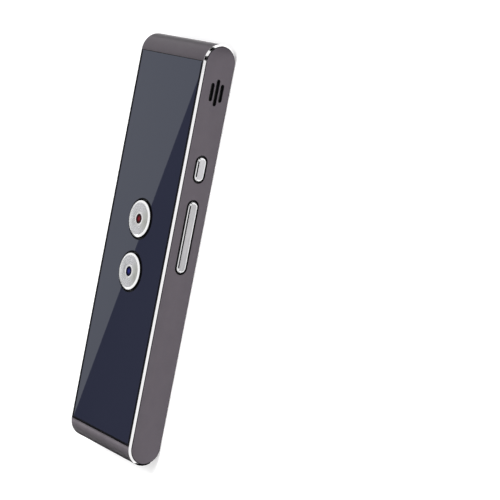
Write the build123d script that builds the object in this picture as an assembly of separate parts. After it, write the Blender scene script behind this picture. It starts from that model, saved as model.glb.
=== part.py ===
"""A slim handheld voice translator, taken apart into the pieces it is assembled from.

Frame: X is the width (the side keys are on +X), Y the length (the speaker is at the +Y end),
Z the thickness. The origin is the centre of the flat back face, and +Z leaves through the
front panel. The side profile is a stadium: both ends are round. Millimetres throughout.
"""

import os

from build123d import *

# ---------------------------------------------------------------- housing
BODY_LENGTH = 140.0
BODY_WIDTH = 38.4
BODY_THICKNESS = 12.6
SIDE_WALL = 1.2
REAR_WALL = 1.2
EDGE_CHAMFER = 0.65  # bright cut edge round both side faces

# ---------------------------------------------------------------- front panel and frame
PANEL_THICKNESS = 1.1
PANEL_GAP = 0.1
PANEL_EDGE = 0.12
TAPE_THICKNESS = 0.15
TAPE_INSET = 0.6
FRAME_PLATE = 1.2
FRAME_GAP = 0.15
RUNNING_GAP = 0.05  # between faces that meet but move
FIT_GAP = 0.02  # between a screw or lead and its hole

# ---------------------------------------------------------------- round keys
KEY_CAP_DIAMETER = 12.25
KEY_WEB = 5.5  # panel left between the two caps
KEY_HOLE_GAP = 0.525
KEY_GUIDE_GAP = 0.08
KEY_PROUD = 0.75
KEY_TRAVEL = 0.3
RED_KEY_FROM_TOP = 61.2
CAP_THICKNESS = 1.45
CAP_RIM_WIDTH = 0.75
CAP_RIM_DROP = 0.3
CAP_DISH = 0.05
CAP_RING_WIDTH = 0.65
DOT_DIAMETER = 3.3
DOT_SUNK = 0.05
DOT_DISH = 0.1
FLANGE_OVERLAP = 1.25
FLANGE_THICKNESS = 0.8
LUG_REACH = 0.9
LUG_WIDTH = 2.4
LUG_GAP = 0.3
WELL_GAP = 0.4
WELL_WALL = 0.8
WELL_DEPTH = 1.25
POST_DIAMETER = 3.4
CARRIER_SKIN = 0.9

# ---------------------------------------------------------------- side keys
SIDE_KEY_HEIGHT = 3.4
SIDE_KEY_GAP = 0.65
SIDE_KEY_PROUD = 0.5
SIDE_KEY_ROUND = 0.45
SIDE_CAP_THICKNESS = 1.0
SIDE_KEY_TRAVEL = 0.25
SIDE_FLANGE_OVERLAP = 1.0
SIDE_FLANGE_THICKNESS = 0.6
SIDE_POST_DIAMETER = 1.6
POWER_KEY_LENGTH = 7.9
POWER_KEY_FROM_TOP = 40.8
VOLUME_KEY_LENGTH = 23.5
VOLUME_KEY_FROM_TOP = 63.25
VOLUME_POST_SPACING = 16.0
VOLUME_TILT = 1.5  # degrees each way
ROCKER_RECESS = 0.5
TRUNNION_DIAMETER = 1.6
TRUNNION_END_GAP = 0.15
SEAT_GAP = 0.2  # beside the rocker's flange
SEAT_WRAP = 0.2
SEAT_WIDTH = 3.2
SEAT_DEPTH = 1.4

# ---------------------------------------------------------------- side key contacts
KEY_BAY_DEPTH = 2.0  # inner wall face to the flex
DOME_HEIGHT = 0.35
DOME_DIAMETER = 4.0
DOME_METAL = 0.1
FLEX_THICKNESS = 0.15
FLEX_HEIGHT = 4.2
BRACKET_METAL = 0.4
BRACKET_HEIGHT = 4.4
BRACKET_MARGIN = 1.6
BRACKET_FOOT_REACH = 4.0
BRACKET_FOOT_WIDTH = 4.0

# ---------------------------------------------------------------- boards
BOARD_THICKNESS = 1.0
BOARD_BELOW_ROW = 0.7  # top of the main board below the middle of the side keys
BOARD_GAP = 0.4
BOARD_FROM_END = 2.7
BOARD_BELOW_KEY = 9.5
CHARGE_BOARD_THICKNESS = 0.8
CHARGE_BOARD_LENGTH = 12.8
CHARGE_BOARD_OVERHANG = 3.5
CHARGE_BOARD_INSET = 5.0
SWITCH_SIDE = 4.5
SWITCH_HEIGHT = 2.0
SWITCH_LID = 0.3
PLUNGER_DIAMETER = 2.2
PLUNGER_FLANGE = 3.1
PLUNGER_PROUD = 0.7

# ---------------------------------------------------------------- screws
SCREW_DIAMETER = 1.4
SCREW_LENGTH = 3.2
SCREW_HEAD_DIAMETER = 2.6
SCREW_HEAD_HEIGHT = 0.55
SCREW_SOCKET = 0.9
BOSS_DIAMETER = 3.6
BOSS_INSET = 2.9
BOSS_CLEARANCE = 0.4

# ---------------------------------------------------------------- battery and ribbon
GUARD_BOARD_LENGTH = 2.0
GUARD_BOARD_HEIGHT = 3.0
BATTERY_CLEARANCE = 1.25
BATTERY_TAPE = 0.2
BATTERY_EDGE = 1.4
BATTERY_END_GAP = 0.8
FOAM_THICKNESS = 0.9
RIB_THICKNESS = 0.8
RIB_HEIGHT = 2.6
RIBBON_WIDTH = 6.0
RIBBON_THICKNESS = 0.2
RIBBON_CLEARANCE = 0.15
RIBBON_BEND = 0.6
RIBBON_TO_POST = 1.45  # ribbon socket to the frame's post beside it
RIBBON_SOCKET_LENGTH = 3.4
RIBBON_SOCKET_HEIGHT = 1.4
RIBBON_ENTRY = 0.7  # height of the ribbon above each board
SOCKET_MARGIN = 1.5  # ribbon socket to the board's edge
LEAD_DIAMETER = 0.8
LEAD_SPACING = 1.5
PLUG_TO_POST = 1.0  # battery socket to the frame's post beside it
PLUG_SIDE = 4.4
PLUG_HEIGHT = 2.4
PLUG_WALL = 0.5
PLUG_MARGIN = 1.2

# ---------------------------------------------------------------- speaker
SLOTS_BELOW_KEYS = 0.5  # towards the back
SLOT_WIDTH = 1.15
SLOT_PITCH = 1.9
SLOT_LONG = 8.7
SLOT_SHORT = 5.9
SLOTS_FROM_TOP = 15.6
SPEAKER_END_GAP = 0.25
SPEAKER_DEPTH = 4.0
SPEAKER_RIM = 1.3
GASKET_THICKNESS = 0.6
MESH_THICKNESS = 0.15
GASKET_RIM = 0.9
CRADLE_WALL = 0.7
DIAPHRAGM_THICKNESS = 0.2
SPEAKER_LEAD_DIAMETER = 0.6

# ---------------------------------------------------------------- socket and microphone
SOCKET_WIDTH = 7.5
SOCKET_HEIGHT = 2.5
SOCKET_DEPTH = 5.4
SOCKET_METAL = 0.3
SOCKET_BEVEL = 0.8
SOCKET_SUNK = 0.4
SOCKET_GAP = 0.3
TONGUE_WIDTH = 3.6
TONGUE_THICKNESS = 0.6
TONGUE_BELOW_SHELL = 0.45
CONTACT_COUNT = 5
CONTACT_WIDTH = 0.35
CONTACT_PITCH = 0.65
CONTACT_THICKNESS = 0.1
MIC_FROM_EDGE = 2.0  # microphone's axis to the charging board's side
MIC_DIAMETER = 4.0
MIC_LENGTH = 1.6
MIC_HOLE_DIAMETER = 1.0
BOOT_WALL = 0.8
BOOT_LENGTH = 3.9
MIC_LEAD_RUN = 1.0

# ---------------------------------------------------------------- chips and antenna
PROCESSOR_SIDE = 10.0
PROCESSOR_HEIGHT = 1.0
PROCESSOR_ABOVE_KEY = 23.0
MEMORY_SIZE = (8.0, 6.0)
MEMORY_ABOVE_KEY = 12.5
CHIP_HEIGHT = 0.9
CHARGER_SIDE = 5.0
CHARGER_INSET = 7.0
CRYSTAL_SIZE = (3.2, 2.5)
PASSIVE_SIZE = (1.6, 0.8)
PASSIVE_HEIGHT = 0.6
PASSIVE_PITCH = 2.4
PASSIVE_COUNT = 6
SHIELD_SIDE = 12.5
SHIELD_HEIGHT = 1.8
SHIELD_METAL = 0.3
SHIELD_FROM_EDGE = 9.5
SHIELD_FROM_END = 10.5
ANTENNA_SIZE = (14.0, 8.0)
ANTENNA_THICKNESS = 0.15

# ---------------------------------------------------------------- places that follow
HALF_WIDTH = BODY_WIDTH / 2
HALF_LENGTH = BODY_LENGTH / 2
MID_Z = BODY_THICKNESS / 2
STRAIGHT_HALF = HALF_LENGTH - MID_Z  # where the round ends begin
INNER_X = HALF_WIDTH - SIDE_WALL
INNER_RADIUS = MID_Z - REAR_WALL

PANEL_BACK = BODY_THICKNESS - PANEL_THICKNESS
FRAME_TOP = PANEL_BACK - TAPE_THICKNESS
FRAME_UNDER = FRAME_TOP - FRAME_PLATE
PANEL_HALF_WIDTH = INNER_X - PANEL_GAP
PANEL_HALF_LENGTH = STRAIGHT_HALF - PANEL_GAP

RED_KEY_Y = HALF_LENGTH - RED_KEY_FROM_TOP
BLUE_KEY_Y = RED_KEY_Y - KEY_CAP_DIAMETER - KEY_WEB
KEY_HOLE_RADIUS = KEY_CAP_DIAMETER / 2 + KEY_HOLE_GAP
CARRIER_RADIUS = KEY_CAP_DIAMETER / 2 - RUNNING_GAP
GUIDE_RADIUS = CARRIER_RADIUS + KEY_GUIDE_GAP
FLANGE_RADIUS = KEY_CAP_DIAMETER / 2 + FLANGE_OVERLAP
FLANGE_TOP = FRAME_UNDER - RUNNING_GAP
FLANGE_BOTTOM = FLANGE_TOP - FLANGE_THICKNESS
WELL_RADIUS = FLANGE_RADIUS + WELL_GAP
CAP_TOP = BODY_THICKNESS + KEY_PROUD
CAP_BOTTOM = CAP_TOP - CAP_THICKNESS

SIDE_Z = MID_Z
SLOTS_Z = SIDE_Z - SLOTS_BELOW_KEYS
POWER_KEY_Y = HALF_LENGTH - POWER_KEY_FROM_TOP
VOLUME_KEY_Y = HALF_LENGTH - VOLUME_KEY_FROM_TOP
SIDE_CAP_FACE = HALF_WIDTH + SIDE_KEY_PROUD
SIDE_CAP_BACK = SIDE_CAP_FACE - SIDE_CAP_THICKNESS
SIDE_FLANGE_HALF = SIDE_KEY_HEIGHT / 2 + SIDE_FLANGE_OVERLAP
TRUNNION_X = INNER_X - RUNNING_GAP - TRUNNION_DIAMETER / 2
FLEX_FACE = INNER_X - KEY_BAY_DEPTH
DOME_CREST = FLEX_FACE + DOME_HEIGHT
BRACKET_FACE = FLEX_FACE - FLEX_THICKNESS
BRACKET_BACK = BRACKET_FACE - BRACKET_METAL
BRACKET_LOW_Y = VOLUME_KEY_Y - VOLUME_KEY_LENGTH / 2 - BRACKET_MARGIN
BRACKET_HIGH_Y = POWER_KEY_Y + POWER_KEY_LENGTH / 2 + BRACKET_MARGIN

BOARD_TOP = SIDE_Z - BOARD_BELOW_ROW
BOARD_UNDER = BOARD_TOP - BOARD_THICKNESS
BOARD_LEFT = -INNER_X + BOARD_GAP
BOARD_RIGHT = BRACKET_BACK - RUNNING_GAP
BOARD_HIGH_Y = STRAIGHT_HALF - BOARD_FROM_END
BOARD_LOW_Y = BLUE_KEY_Y - BOARD_BELOW_KEY
SWITCH_TOP = BOARD_TOP + SWITCH_HEIGHT
PLUNGER_TOP = SWITCH_TOP + PLUNGER_PROUD

SPEAKER_Y = HALF_LENGTH - SLOTS_FROM_TOP
CRADLE_HALF = STRAIGHT_HALF - SPEAKER_Y - SPEAKER_END_GAP
SPEAKER_HALF = CRADLE_HALF - CRADLE_WALL - RUNNING_GAP
GASKET_FACE = INNER_X - GASKET_THICKNESS
SPEAKER_BACK = GASKET_FACE - SPEAKER_DEPTH
CRADLE_BACK = SPEAKER_BACK - RUNNING_GAP - CRADLE_WALL
CRADLE_LOW = REAR_WALL
CRADLE_HIGH = FRAME_UNDER - RUNNING_GAP
SPEAKER_LOW = CRADLE_LOW + CRADLE_WALL + RUNNING_GAP
SPEAKER_HIGH = CRADLE_HIGH - CRADLE_WALL - RUNNING_GAP
SPEAKER_MID_Z = (SPEAKER_LOW + SPEAKER_HIGH) / 2

SOCKET_LOW_Z = MID_Z - SOCKET_HEIGHT / 2
SOCKET_MOUTH_Y = -HALF_LENGTH + SOCKET_SUNK
SOCKET_REAR_Y = SOCKET_MOUTH_Y + SOCKET_DEPTH
CHARGE_TOP = SOCKET_LOW_Z
CHARGE_UNDER = CHARGE_TOP - CHARGE_BOARD_THICKNESS
CHARGE_LOW_Y = -STRAIGHT_HALF - CHARGE_BOARD_OVERHANG
CHARGE_HIGH_Y = CHARGE_LOW_Y + CHARGE_BOARD_LENGTH
CHARGE_HALF = INNER_X - CHARGE_BOARD_INSET
MIC_OFFSET = CHARGE_HALF - MIC_FROM_EDGE
BOOT_RADIUS = MIC_DIAMETER / 2 + BOOT_WALL
BOOT_REAR_Y = -HALF_LENGTH + REAR_WALL + BOOT_LENGTH
MIC_FRONT_Y = BOOT_REAR_Y - MIC_LENGTH
TONGUE_TOP_Z = MID_Z + SOCKET_HEIGHT / 2 - SOCKET_METAL - TONGUE_BELOW_SHELL
TONGUE_LOW_Z = TONGUE_TOP_Z - TONGUE_THICKNESS

GUARD_HIGH_Y = BOARD_LOW_Y - BATTERY_END_GAP
GUARD_LOW_Y = GUARD_HIGH_Y - GUARD_BOARD_LENGTH
CELL_HIGH_Y = GUARD_LOW_Y
CELL_LOW_Y = CHARGE_HIGH_Y + BATTERY_END_GAP + RIB_THICKNESS + RUNNING_GAP
CELL_LOW_Z = REAR_WALL + BATTERY_TAPE
FOAM_TOP = FRAME_UNDER
FOAM_BOTTOM = FOAM_TOP - FOAM_THICKNESS
RIBBON_Z = FOAM_BOTTOM - RIBBON_THICKNESS / 2 - RUNNING_GAP
CELL_HIGH_Z = RIBBON_Z - RIBBON_THICKNESS / 2 - RIBBON_CLEARANCE
CELL_HALF = INNER_X - BATTERY_CLEARANCE
POST_FACE = INNER_X - BOSS_INSET - BOSS_DIAMETER / 2  # inner side of the frame's posts
RIBBON_SOCKET_HALF = RIBBON_WIDTH / 2 + RIBBON_THICKNESS + RUNNING_GAP
RIBBON_OFFSET = POST_FACE - RIBBON_TO_POST - RIBBON_SOCKET_HALF
MAIN_RIBBON_Y = BOARD_LOW_Y + SOCKET_MARGIN + RIBBON_SOCKET_LENGTH / 2
CHARGE_RIBBON_Y = CHARGE_HIGH_Y - SOCKET_MARGIN - RIBBON_SOCKET_LENGTH / 2
PLUG_X = PLUG_SIDE / 2 + PLUG_TO_POST - POST_FACE
PLUG_Y = BOARD_LOW_Y + PLUG_MARGIN + PLUG_SIDE / 2
PLUG_Z = BOARD_TOP + PLUG_HEIGHT / 2
PROCESSOR_Y = RED_KEY_Y + PROCESSOR_ABOVE_KEY
MEMORY_Y = RED_KEY_Y + MEMORY_ABOVE_KEY
SHIELD_X = BOARD_LEFT + SHIELD_FROM_EDGE
SHIELD_Y = BOARD_HIGH_Y - SHIELD_FROM_END

FRAME_SCREWS = [
    (-INNER_X + BOSS_INSET, BOARD_HIGH_Y),
    (CRADLE_BACK - BOSS_INSET, BOARD_HIGH_Y),
    (-INNER_X + BOSS_INSET, BOARD_LOW_Y + BOSS_INSET),
    (INNER_X - BOSS_INSET, BOARD_LOW_Y + BOSS_INSET),
    (-INNER_X + BOSS_INSET, CHARGE_HIGH_Y - BOSS_INSET),
    (INNER_X - BOSS_INSET, CHARGE_HIGH_Y - BOSS_INSET),
]
FOOT_X = BRACKET_BACK - BRACKET_FOOT_REACH / 2 - RUNNING_GAP
FOOT_YS = [BRACKET_LOW_Y + BRACKET_FOOT_WIDTH, BRACKET_HIGH_Y - BRACKET_FOOT_WIDTH / 2]
BOARD_SCREWS = [(FOOT_X, y) for y in FOOT_YS] + [
    (BOARD_LEFT + BOSS_INSET, y) for y in FOOT_YS
]
CHARGE_SCREWS = [
    (-CHARGE_HALF + BOSS_INSET, CHARGE_HIGH_Y - BOSS_INSET),
    (RIBBON_OFFSET - RIBBON_WIDTH / 2 - BOSS_INSET, CHARGE_HIGH_Y - BOSS_INSET),
]


# ---------------------------------------------------------------- shape helpers
def block(x, y, z):
    """A box between the low and high value on each axis."""
    size = (x[1] - x[0], y[1] - y[0], z[1] - z[0])
    return Pos((x[0] + x[1]) / 2, (y[0] + y[1]) / 2, (z[0] + z[1]) / 2) * Box(*size)


def rod_x(y, z, x0, x1, radius):
    """A cylinder along X."""
    return Pos((x0 + x1) / 2, y, z) * Rot(0, 90, 0) * Cylinder(radius, x1 - x0)


def rod_y(x, z, y0, y1, radius):
    """A cylinder along Y."""
    return Pos(x, (y0 + y1) / 2, z) * Rot(90, 0, 0) * Cylinder(radius, y1 - y0)


def rod_z(x, y, z0, z1, radius):
    """A cylinder along Z."""
    return Pos(x, y, (z0 + z1) / 2) * Cylinder(radius, z1 - z0)


def stadium_x(y, z, length, height, x0, x1):
    """A bar along X whose section is a slot, long in Y and round at both ends."""
    face = Plane.YZ.offset(x0) * Pos(y, z) * SlotOverall(length, height)
    return extrude(face, x1 - x0)


def chip(x, y, size, height):
    """A flat package soldered to the top of the main board."""
    return block(
        (x - size[0] / 2, x + size[0] / 2),
        (y - size[1] / 2, y + size[1] / 2),
        (BOARD_TOP, BOARD_TOP + height),
    )


def turned(points):
    """A solid of revolution about Z, from its half section as (radius, height) points."""
    outline = Polyline(*[(r, 0, z) for r, z in points], close=True)
    return revolve(make_face(outline), Axis.Z)


def wire_along(points, bend, diameter):
    """A round lead that runs through the points, with tangent arcs at its corners."""
    path = FilletPolyline(*points, radius=bend)
    return sweep(Plane(path @ 0, z_dir=path % 0) * Circle(diameter / 2), path)


def screw(x, y, head_under):
    """A pan-head screw pointing down, its head resting at head_under."""
    shank = rod_z(x, y, head_under - SCREW_LENGTH, head_under, SCREW_DIAMETER / 2)
    head_top = head_under + SCREW_HEAD_HEIGHT
    head = rod_z(x, y, head_under, head_top, SCREW_HEAD_DIAMETER / 2)
    recess = Pos(x, y, head_top) * Box(SCREW_SOCKET, SCREW_SOCKET / 3, SCREW_HEAD_HEIGHT)
    cross = recess + Pos(x, y, 0) * Rot(0, 0, 90) * Pos(-x, -y, 0) * recess
    return shank + head - cross


def boss(x, y, top):
    """A post on the housing's floor with a blind hole for a screw."""
    post = rod_z(x, y, REAR_WALL / 2, top, BOSS_DIAMETER / 2)
    depth = min(SCREW_LENGTH + RUNNING_GAP, top - REAR_WALL / 2)
    return post - rod_z(x, y, top - depth, top, SCREW_DIAMETER / 2 + FIT_GAP)


def end_cavity(shrink):
    """The hollow of the housing, drawn in by shrink on the walls it is bounded by."""
    length = 2 * (STRAIGHT_HALF + INNER_RADIUS - shrink)
    height = 2 * (INNER_RADIUS - shrink)
    return stadium_x(0, MID_Z, length, height, -INNER_X + shrink, INNER_X - shrink)


# ---------------------------------------------------------------- housing
def side_window(y, length):
    """The cut in the side wall that a side key passes through."""
    grown = 2 * SIDE_KEY_GAP
    x0, x1 = INNER_X - SIDE_WALL, HALF_WIDTH + SIDE_WALL
    return stadium_x(y, SIDE_Z, length + grown, SIDE_KEY_HEIGHT + grown, x0, x1)


def speaker_slots():
    """Three upright sound slots, the middle one longer."""
    slots = []
    for row, length in ((-1, SLOT_SHORT), (0, SLOT_LONG), (1, SLOT_SHORT)):
        z = SLOTS_Z + row * SLOT_PITCH
        x0, x1 = INNER_X - SIDE_WALL, HALF_WIDTH + SIDE_WALL
        slots.append(stadium_x(SPEAKER_Y, z, length, SLOT_WIDTH, x0, x1))
    return slots


def socket_window():
    """The rounded cut in the bottom end for the charging socket."""
    half_w = SOCKET_WIDTH / 2 + SOCKET_GAP
    half_h = SOCKET_HEIGHT / 2 + SOCKET_GAP
    outside, inside = -HALF_LENGTH - REAR_WALL, -HALF_LENGTH + 2 * REAR_WALL
    cut = block((-half_w, half_w), (outside, inside), (MID_Z - half_h, MID_Z + half_h))
    return fillet(cut.edges().filter_by(Axis.Y), half_h / 2)


def rocker_seat(z0, z1):
    """A block with a round hollow that backs the volume key's trunnion."""
    front = TRUNNION_X - SEAT_WRAP
    half = SEAT_WIDTH / 2
    seat = block((front - SEAT_DEPTH, front), (VOLUME_KEY_Y - half, VOLUME_KEY_Y + half), (z0, z1))
    radius = TRUNNION_DIAMETER / 2 + RUNNING_GAP
    return seat - rod_z(TRUNNION_X, VOLUME_KEY_Y, z0 - 1, z1 + 1, radius)


def rear_housing():
    """The metal tub: back, side walls and round ends in one piece."""
    outer = stadium_x(0, MID_Z, BODY_LENGTH, BODY_THICKNESS, -HALF_WIDTH, HALF_WIDTH)
    outer = chamfer(outer.faces().filter_by(Axis.X).edges(), EDGE_CHAMFER)
    mouth = block(
        (-INNER_X, INNER_X), (-STRAIGHT_HALF, STRAIGHT_HALF), (MID_Z, BODY_THICKNESS + 1)
    )
    shell = outer - end_cavity(0) - mouth
    for x, y in FRAME_SCREWS:
        shell += boss(x, y, FRAME_UNDER)
    for x, y in BOARD_SCREWS:
        shell += boss(x, y, BOARD_UNDER)
    for x, y in CHARGE_SCREWS:
        shell += boss(x, y, CHARGE_UNDER)
    rib_y = CELL_LOW_Y - RUNNING_GAP
    shell += block(
        (-CELL_HALF, CELL_HALF), (rib_y - RIB_THICKNESS, rib_y), (REAR_WALL / 2, RIB_HEIGHT)
    )
    seat_top = SIDE_Z - SIDE_FLANGE_HALF - SEAT_GAP
    shell += rocker_seat(REAR_WALL / 2, seat_top)
    for cut in speaker_slots():
        shell -= cut
    shell -= side_window(POWER_KEY_Y, POWER_KEY_LENGTH)
    shell -= side_window(VOLUME_KEY_Y, VOLUME_KEY_LENGTH)
    shell -= socket_window()
    mic_end = -HALF_LENGTH + 2 * REAR_WALL
    shell -= rod_y(MIC_OFFSET, MID_Z, -HALF_LENGTH - 1, mic_end, MIC_HOLE_DIAMETER / 2)
    return shell


# ---------------------------------------------------------------- front panel, tape and frame
def key_holes(z0, z1, radius):
    """The two round holes that the front keys pass through."""
    return [rod_z(0, y, z0, z1, radius) for y in (RED_KEY_Y, BLUE_KEY_Y)]


def front_panel():
    """The glossy window, flush with the housing."""
    half_w, half_l = PANEL_HALF_WIDTH, PANEL_HALF_LENGTH
    panel = block((-half_w, half_w), (-half_l, half_l), (PANEL_BACK, BODY_THICKNESS))
    for hole in key_holes(PANEL_BACK - 1, BODY_THICKNESS + 1, KEY_HOLE_RADIUS):
        panel -= hole
    top = panel.faces().sort_by(Axis.Z)[-1]
    return chamfer(top.edges(), PANEL_EDGE)


def panel_tape():
    """The adhesive sheet under the panel."""
    half_w, half_l = PANEL_HALF_WIDTH - TAPE_INSET, PANEL_HALF_LENGTH - TAPE_INSET
    tape = block((-half_w, half_w), (-half_l, half_l), (FRAME_TOP, PANEL_BACK))
    for hole in key_holes(FRAME_TOP - 1, PANEL_BACK + 1, KEY_HOLE_RADIUS + TAPE_INSET):
        tape -= hole
    return tape


def key_well(y):
    """A ring under the frame that keeps a round key central, notched for its lugs."""
    z0, z1 = FRAME_UNDER - WELL_DEPTH, FRAME_UNDER
    ring = rod_z(0, y, z0, z1, WELL_RADIUS + WELL_WALL) - rod_z(0, y, z0, z1, WELL_RADIUS)
    reach = WELL_RADIUS + 2 * WELL_WALL
    half = LUG_WIDTH / 2 + LUG_GAP
    return ring - block((-reach, reach), (y - half, y + half), (z0, z1))


def front_frame():
    """The moulded inner frame that carries the panel and guides the round keys."""
    half_w, half_l = INNER_X - FRAME_GAP, STRAIGHT_HALF - FRAME_GAP
    frame = block((-half_w, half_w), (-half_l, half_l), (FRAME_UNDER, FRAME_TOP))
    for y in (RED_KEY_Y, BLUE_KEY_Y):
        frame += key_well(y)
    frame += rocker_seat(SIDE_Z + SIDE_FLANGE_HALF + SEAT_GAP, FRAME_TOP - FRAME_PLATE / 2)
    for hole in key_holes(FRAME_UNDER - 1, FRAME_TOP + 1, GUIDE_RADIUS):
        frame -= hole
    head_seat = FRAME_TOP - SCREW_HEAD_HEIGHT - RUNNING_GAP
    for x, y in FRAME_SCREWS:
        frame -= rod_z(x, y, FRAME_UNDER - 1, FRAME_TOP, SCREW_DIAMETER / 2 + RUNNING_GAP)
        frame -= rod_z(x, y, head_seat, FRAME_TOP + 1, SCREW_HEAD_DIAMETER / 2 + RUNNING_GAP)
    return frame


def frame_screws():
    """Six screws that hold the frame to the housing."""
    head_seat = FRAME_TOP - SCREW_HEAD_HEIGHT - RUNNING_GAP
    return [screw(x, y, head_seat) for x, y in FRAME_SCREWS]


# ---------------------------------------------------------------- round keys
def key_cap(y):
    """A turned metal cap: a bevelled rim, a slightly dished face and a bevelled centre hole."""
    outer = KEY_CAP_DIAMETER / 2
    hole = DOT_DIAMETER / 2 + FIT_GAP
    profile = [
        (hole, CAP_BOTTOM),
        (outer, CAP_BOTTOM),
        (outer, CAP_TOP - CAP_RIM_DROP),
        (outer - CAP_RIM_WIDTH, CAP_TOP),
        (hole + CAP_RING_WIDTH, CAP_TOP - CAP_DISH),
        (hole, CAP_TOP - CAP_DISH - FIT_GAP),
    ]
    return Pos(0, y, 0) * turned(profile)


def key_dot(y):
    """The coloured inlay in the middle of a cap, with a shallow hollow on top."""
    top = CAP_TOP - DOT_SUNK
    radius = DOT_DIAMETER / 2
    dot = rod_z(0, y, CAP_BOTTOM, top, radius)
    ball = (radius**2 + DOT_DISH**2) / (2 * DOT_DISH)
    return dot - Pos(0, y, top + ball - DOT_DISH) * Sphere(ball)


def key_carrier(y):
    """The moulded cup under a cap: guided in the frame, with a post for the switch."""
    carrier = rod_z(0, y, FLANGE_TOP, CAP_BOTTOM, CARRIER_RADIUS)
    carrier += rod_z(0, y, FLANGE_BOTTOM, FLANGE_TOP, FLANGE_RADIUS)
    reach = FLANGE_RADIUS + LUG_REACH
    half = LUG_WIDTH / 2
    carrier += block((-reach, reach), (y - half, y + half), (FLANGE_BOTTOM, FLANGE_TOP))
    roof = CAP_BOTTOM - CARRIER_SKIN
    carrier -= rod_z(0, y, FLANGE_BOTTOM - 1, roof, CARRIER_RADIUS - CARRIER_SKIN)
    carrier += rod_z(0, y, PLUNGER_TOP, CAP_BOTTOM, POST_DIAMETER / 2)
    return carrier


def key_switch(y):
    """The body of the push switch that a round key works."""
    half = SWITCH_SIDE / 2
    body = block((-half, half), (y - half, y + half), (BOARD_TOP, SWITCH_TOP))
    lid_under = SWITCH_TOP - SWITCH_LID
    floor = BOARD_TOP + SWITCH_LID
    body -= rod_z(0, y, floor, lid_under, PLUNGER_FLANGE / 2 + RUNNING_GAP)
    return body - rod_z(0, y, lid_under - 1, SWITCH_TOP + 1, PLUNGER_DIAMETER / 2 + RUNNING_GAP)


def key_plunger(y):
    """The switch's plunger, held up against the key's post."""
    lid_under = SWITCH_TOP - SWITCH_LID
    flange = rod_z(
        0, y, lid_under - SWITCH_LID - RUNNING_GAP, lid_under - RUNNING_GAP, PLUNGER_FLANGE / 2
    )
    return flange + rod_z(0, y, lid_under - SWITCH_LID, PLUNGER_TOP, PLUNGER_DIAMETER / 2)


# ---------------------------------------------------------------- side keys
def side_cap(y, length):
    """A metal side key, rounded round its outer face."""
    cap = stadium_x(y, SIDE_Z, length, SIDE_KEY_HEIGHT, SIDE_CAP_BACK, SIDE_CAP_FACE)
    face = cap.faces().sort_by(Axis.X)[-1]
    return fillet(face.edges(), SIDE_KEY_ROUND)


def power_key_carrier():
    """The moulded foot of the power key, wider than its window, with one post."""
    flange_face = INNER_X - RUNNING_GAP
    flange_back = flange_face - SIDE_FLANGE_THICKNESS
    grown = 2 * SIDE_FLANGE_OVERLAP
    neck = stadium_x(
        POWER_KEY_Y, SIDE_Z, POWER_KEY_LENGTH, SIDE_KEY_HEIGHT, flange_back, SIDE_CAP_BACK
    )
    flange = stadium_x(
        POWER_KEY_Y,
        SIDE_Z,
        POWER_KEY_LENGTH + grown,
        SIDE_KEY_HEIGHT + grown,
        flange_back,
        flange_face,
    )
    post_end = DOME_CREST + FIT_GAP
    post = rod_x(POWER_KEY_Y, SIDE_Z, post_end, flange_back, SIDE_POST_DIAMETER / 2)
    return neck + flange + post


def volume_posts():
    """The places along Y of the volume key's two posts: down, then up."""
    return [VOLUME_KEY_Y - VOLUME_POST_SPACING / 2, VOLUME_KEY_Y + VOLUME_POST_SPACING / 2]


def volume_key_carrier():
    """The moulded rocker under the volume key, turning on a trunnion at its middle."""
    flange_face = INNER_X - ROCKER_RECESS
    flange_back = flange_face - SIDE_FLANGE_THICKNESS
    grown = 2 * SIDE_FLANGE_OVERLAP
    rocker = stadium_x(
        VOLUME_KEY_Y, SIDE_Z, VOLUME_KEY_LENGTH, SIDE_KEY_HEIGHT, flange_back, SIDE_CAP_BACK
    )
    rocker += stadium_x(
        VOLUME_KEY_Y,
        SIDE_Z,
        VOLUME_KEY_LENGTH + grown,
        SIDE_KEY_HEIGHT + grown,
        flange_back,
        flange_face,
    )
    low, high = REAR_WALL + TRUNNION_END_GAP, FRAME_UNDER - TRUNNION_END_GAP
    rocker += rod_z(TRUNNION_X, VOLUME_KEY_Y, low, high, TRUNNION_DIAMETER / 2)
    for y in volume_posts():
        rocker += rod_x(y, SIDE_Z, DOME_CREST + FIT_GAP, flange_back, SIDE_POST_DIAMETER / 2)
    return rocker


def side_dome(y):
    """A thin snap dome on the flex, domed towards its key."""
    radius = DOME_DIAMETER / 2
    ball = (radius**2 + DOME_HEIGHT**2) / (2 * DOME_HEIGHT)
    centre = Pos(DOME_CREST - ball, y, SIDE_Z) * Rot(0, 0, 180)
    behind = Pos(FLEX_FACE - 2 * ball, y, SIDE_Z) * Box(4 * ball, 4 * ball, 4 * ball)
    return centre * Sphere(ball) - behind - centre * Sphere(ball - DOME_METAL)


def side_key_flex():
    """The printed flex that the three snap domes sit on."""
    half = FLEX_HEIGHT / 2
    margin = BRACKET_MARGIN / 2
    return block(
        (BRACKET_FACE, FLEX_FACE),
        (BRACKET_LOW_Y + margin, BRACKET_HIGH_Y - margin),
        (SIDE_Z - half, SIDE_Z + half),
    )


def side_key_bracket():
    """The steel angle that backs the flex and is screwed to the main board."""
    half = BRACKET_HEIGHT / 2
    bracket = block(
        (BRACKET_BACK, BRACKET_FACE),
        (BRACKET_LOW_Y, BRACKET_HIGH_Y),
        (SIDE_Z - half, SIDE_Z + half),
    )
    for x, y in BOARD_SCREWS[: len(FOOT_YS)]:
        half_foot = BRACKET_FOOT_WIDTH / 2
        bracket += block(
            (BRACKET_BACK - BRACKET_FOOT_REACH, BRACKET_FACE),
            (y - half_foot, y + half_foot),
            (BOARD_TOP, BOARD_TOP + BRACKET_METAL),
        )
        bracket -= rod_z(x, y, BOARD_TOP - 1, BOARD_TOP + 1, SCREW_DIAMETER / 2 + FIT_GAP)
    return bracket


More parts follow.
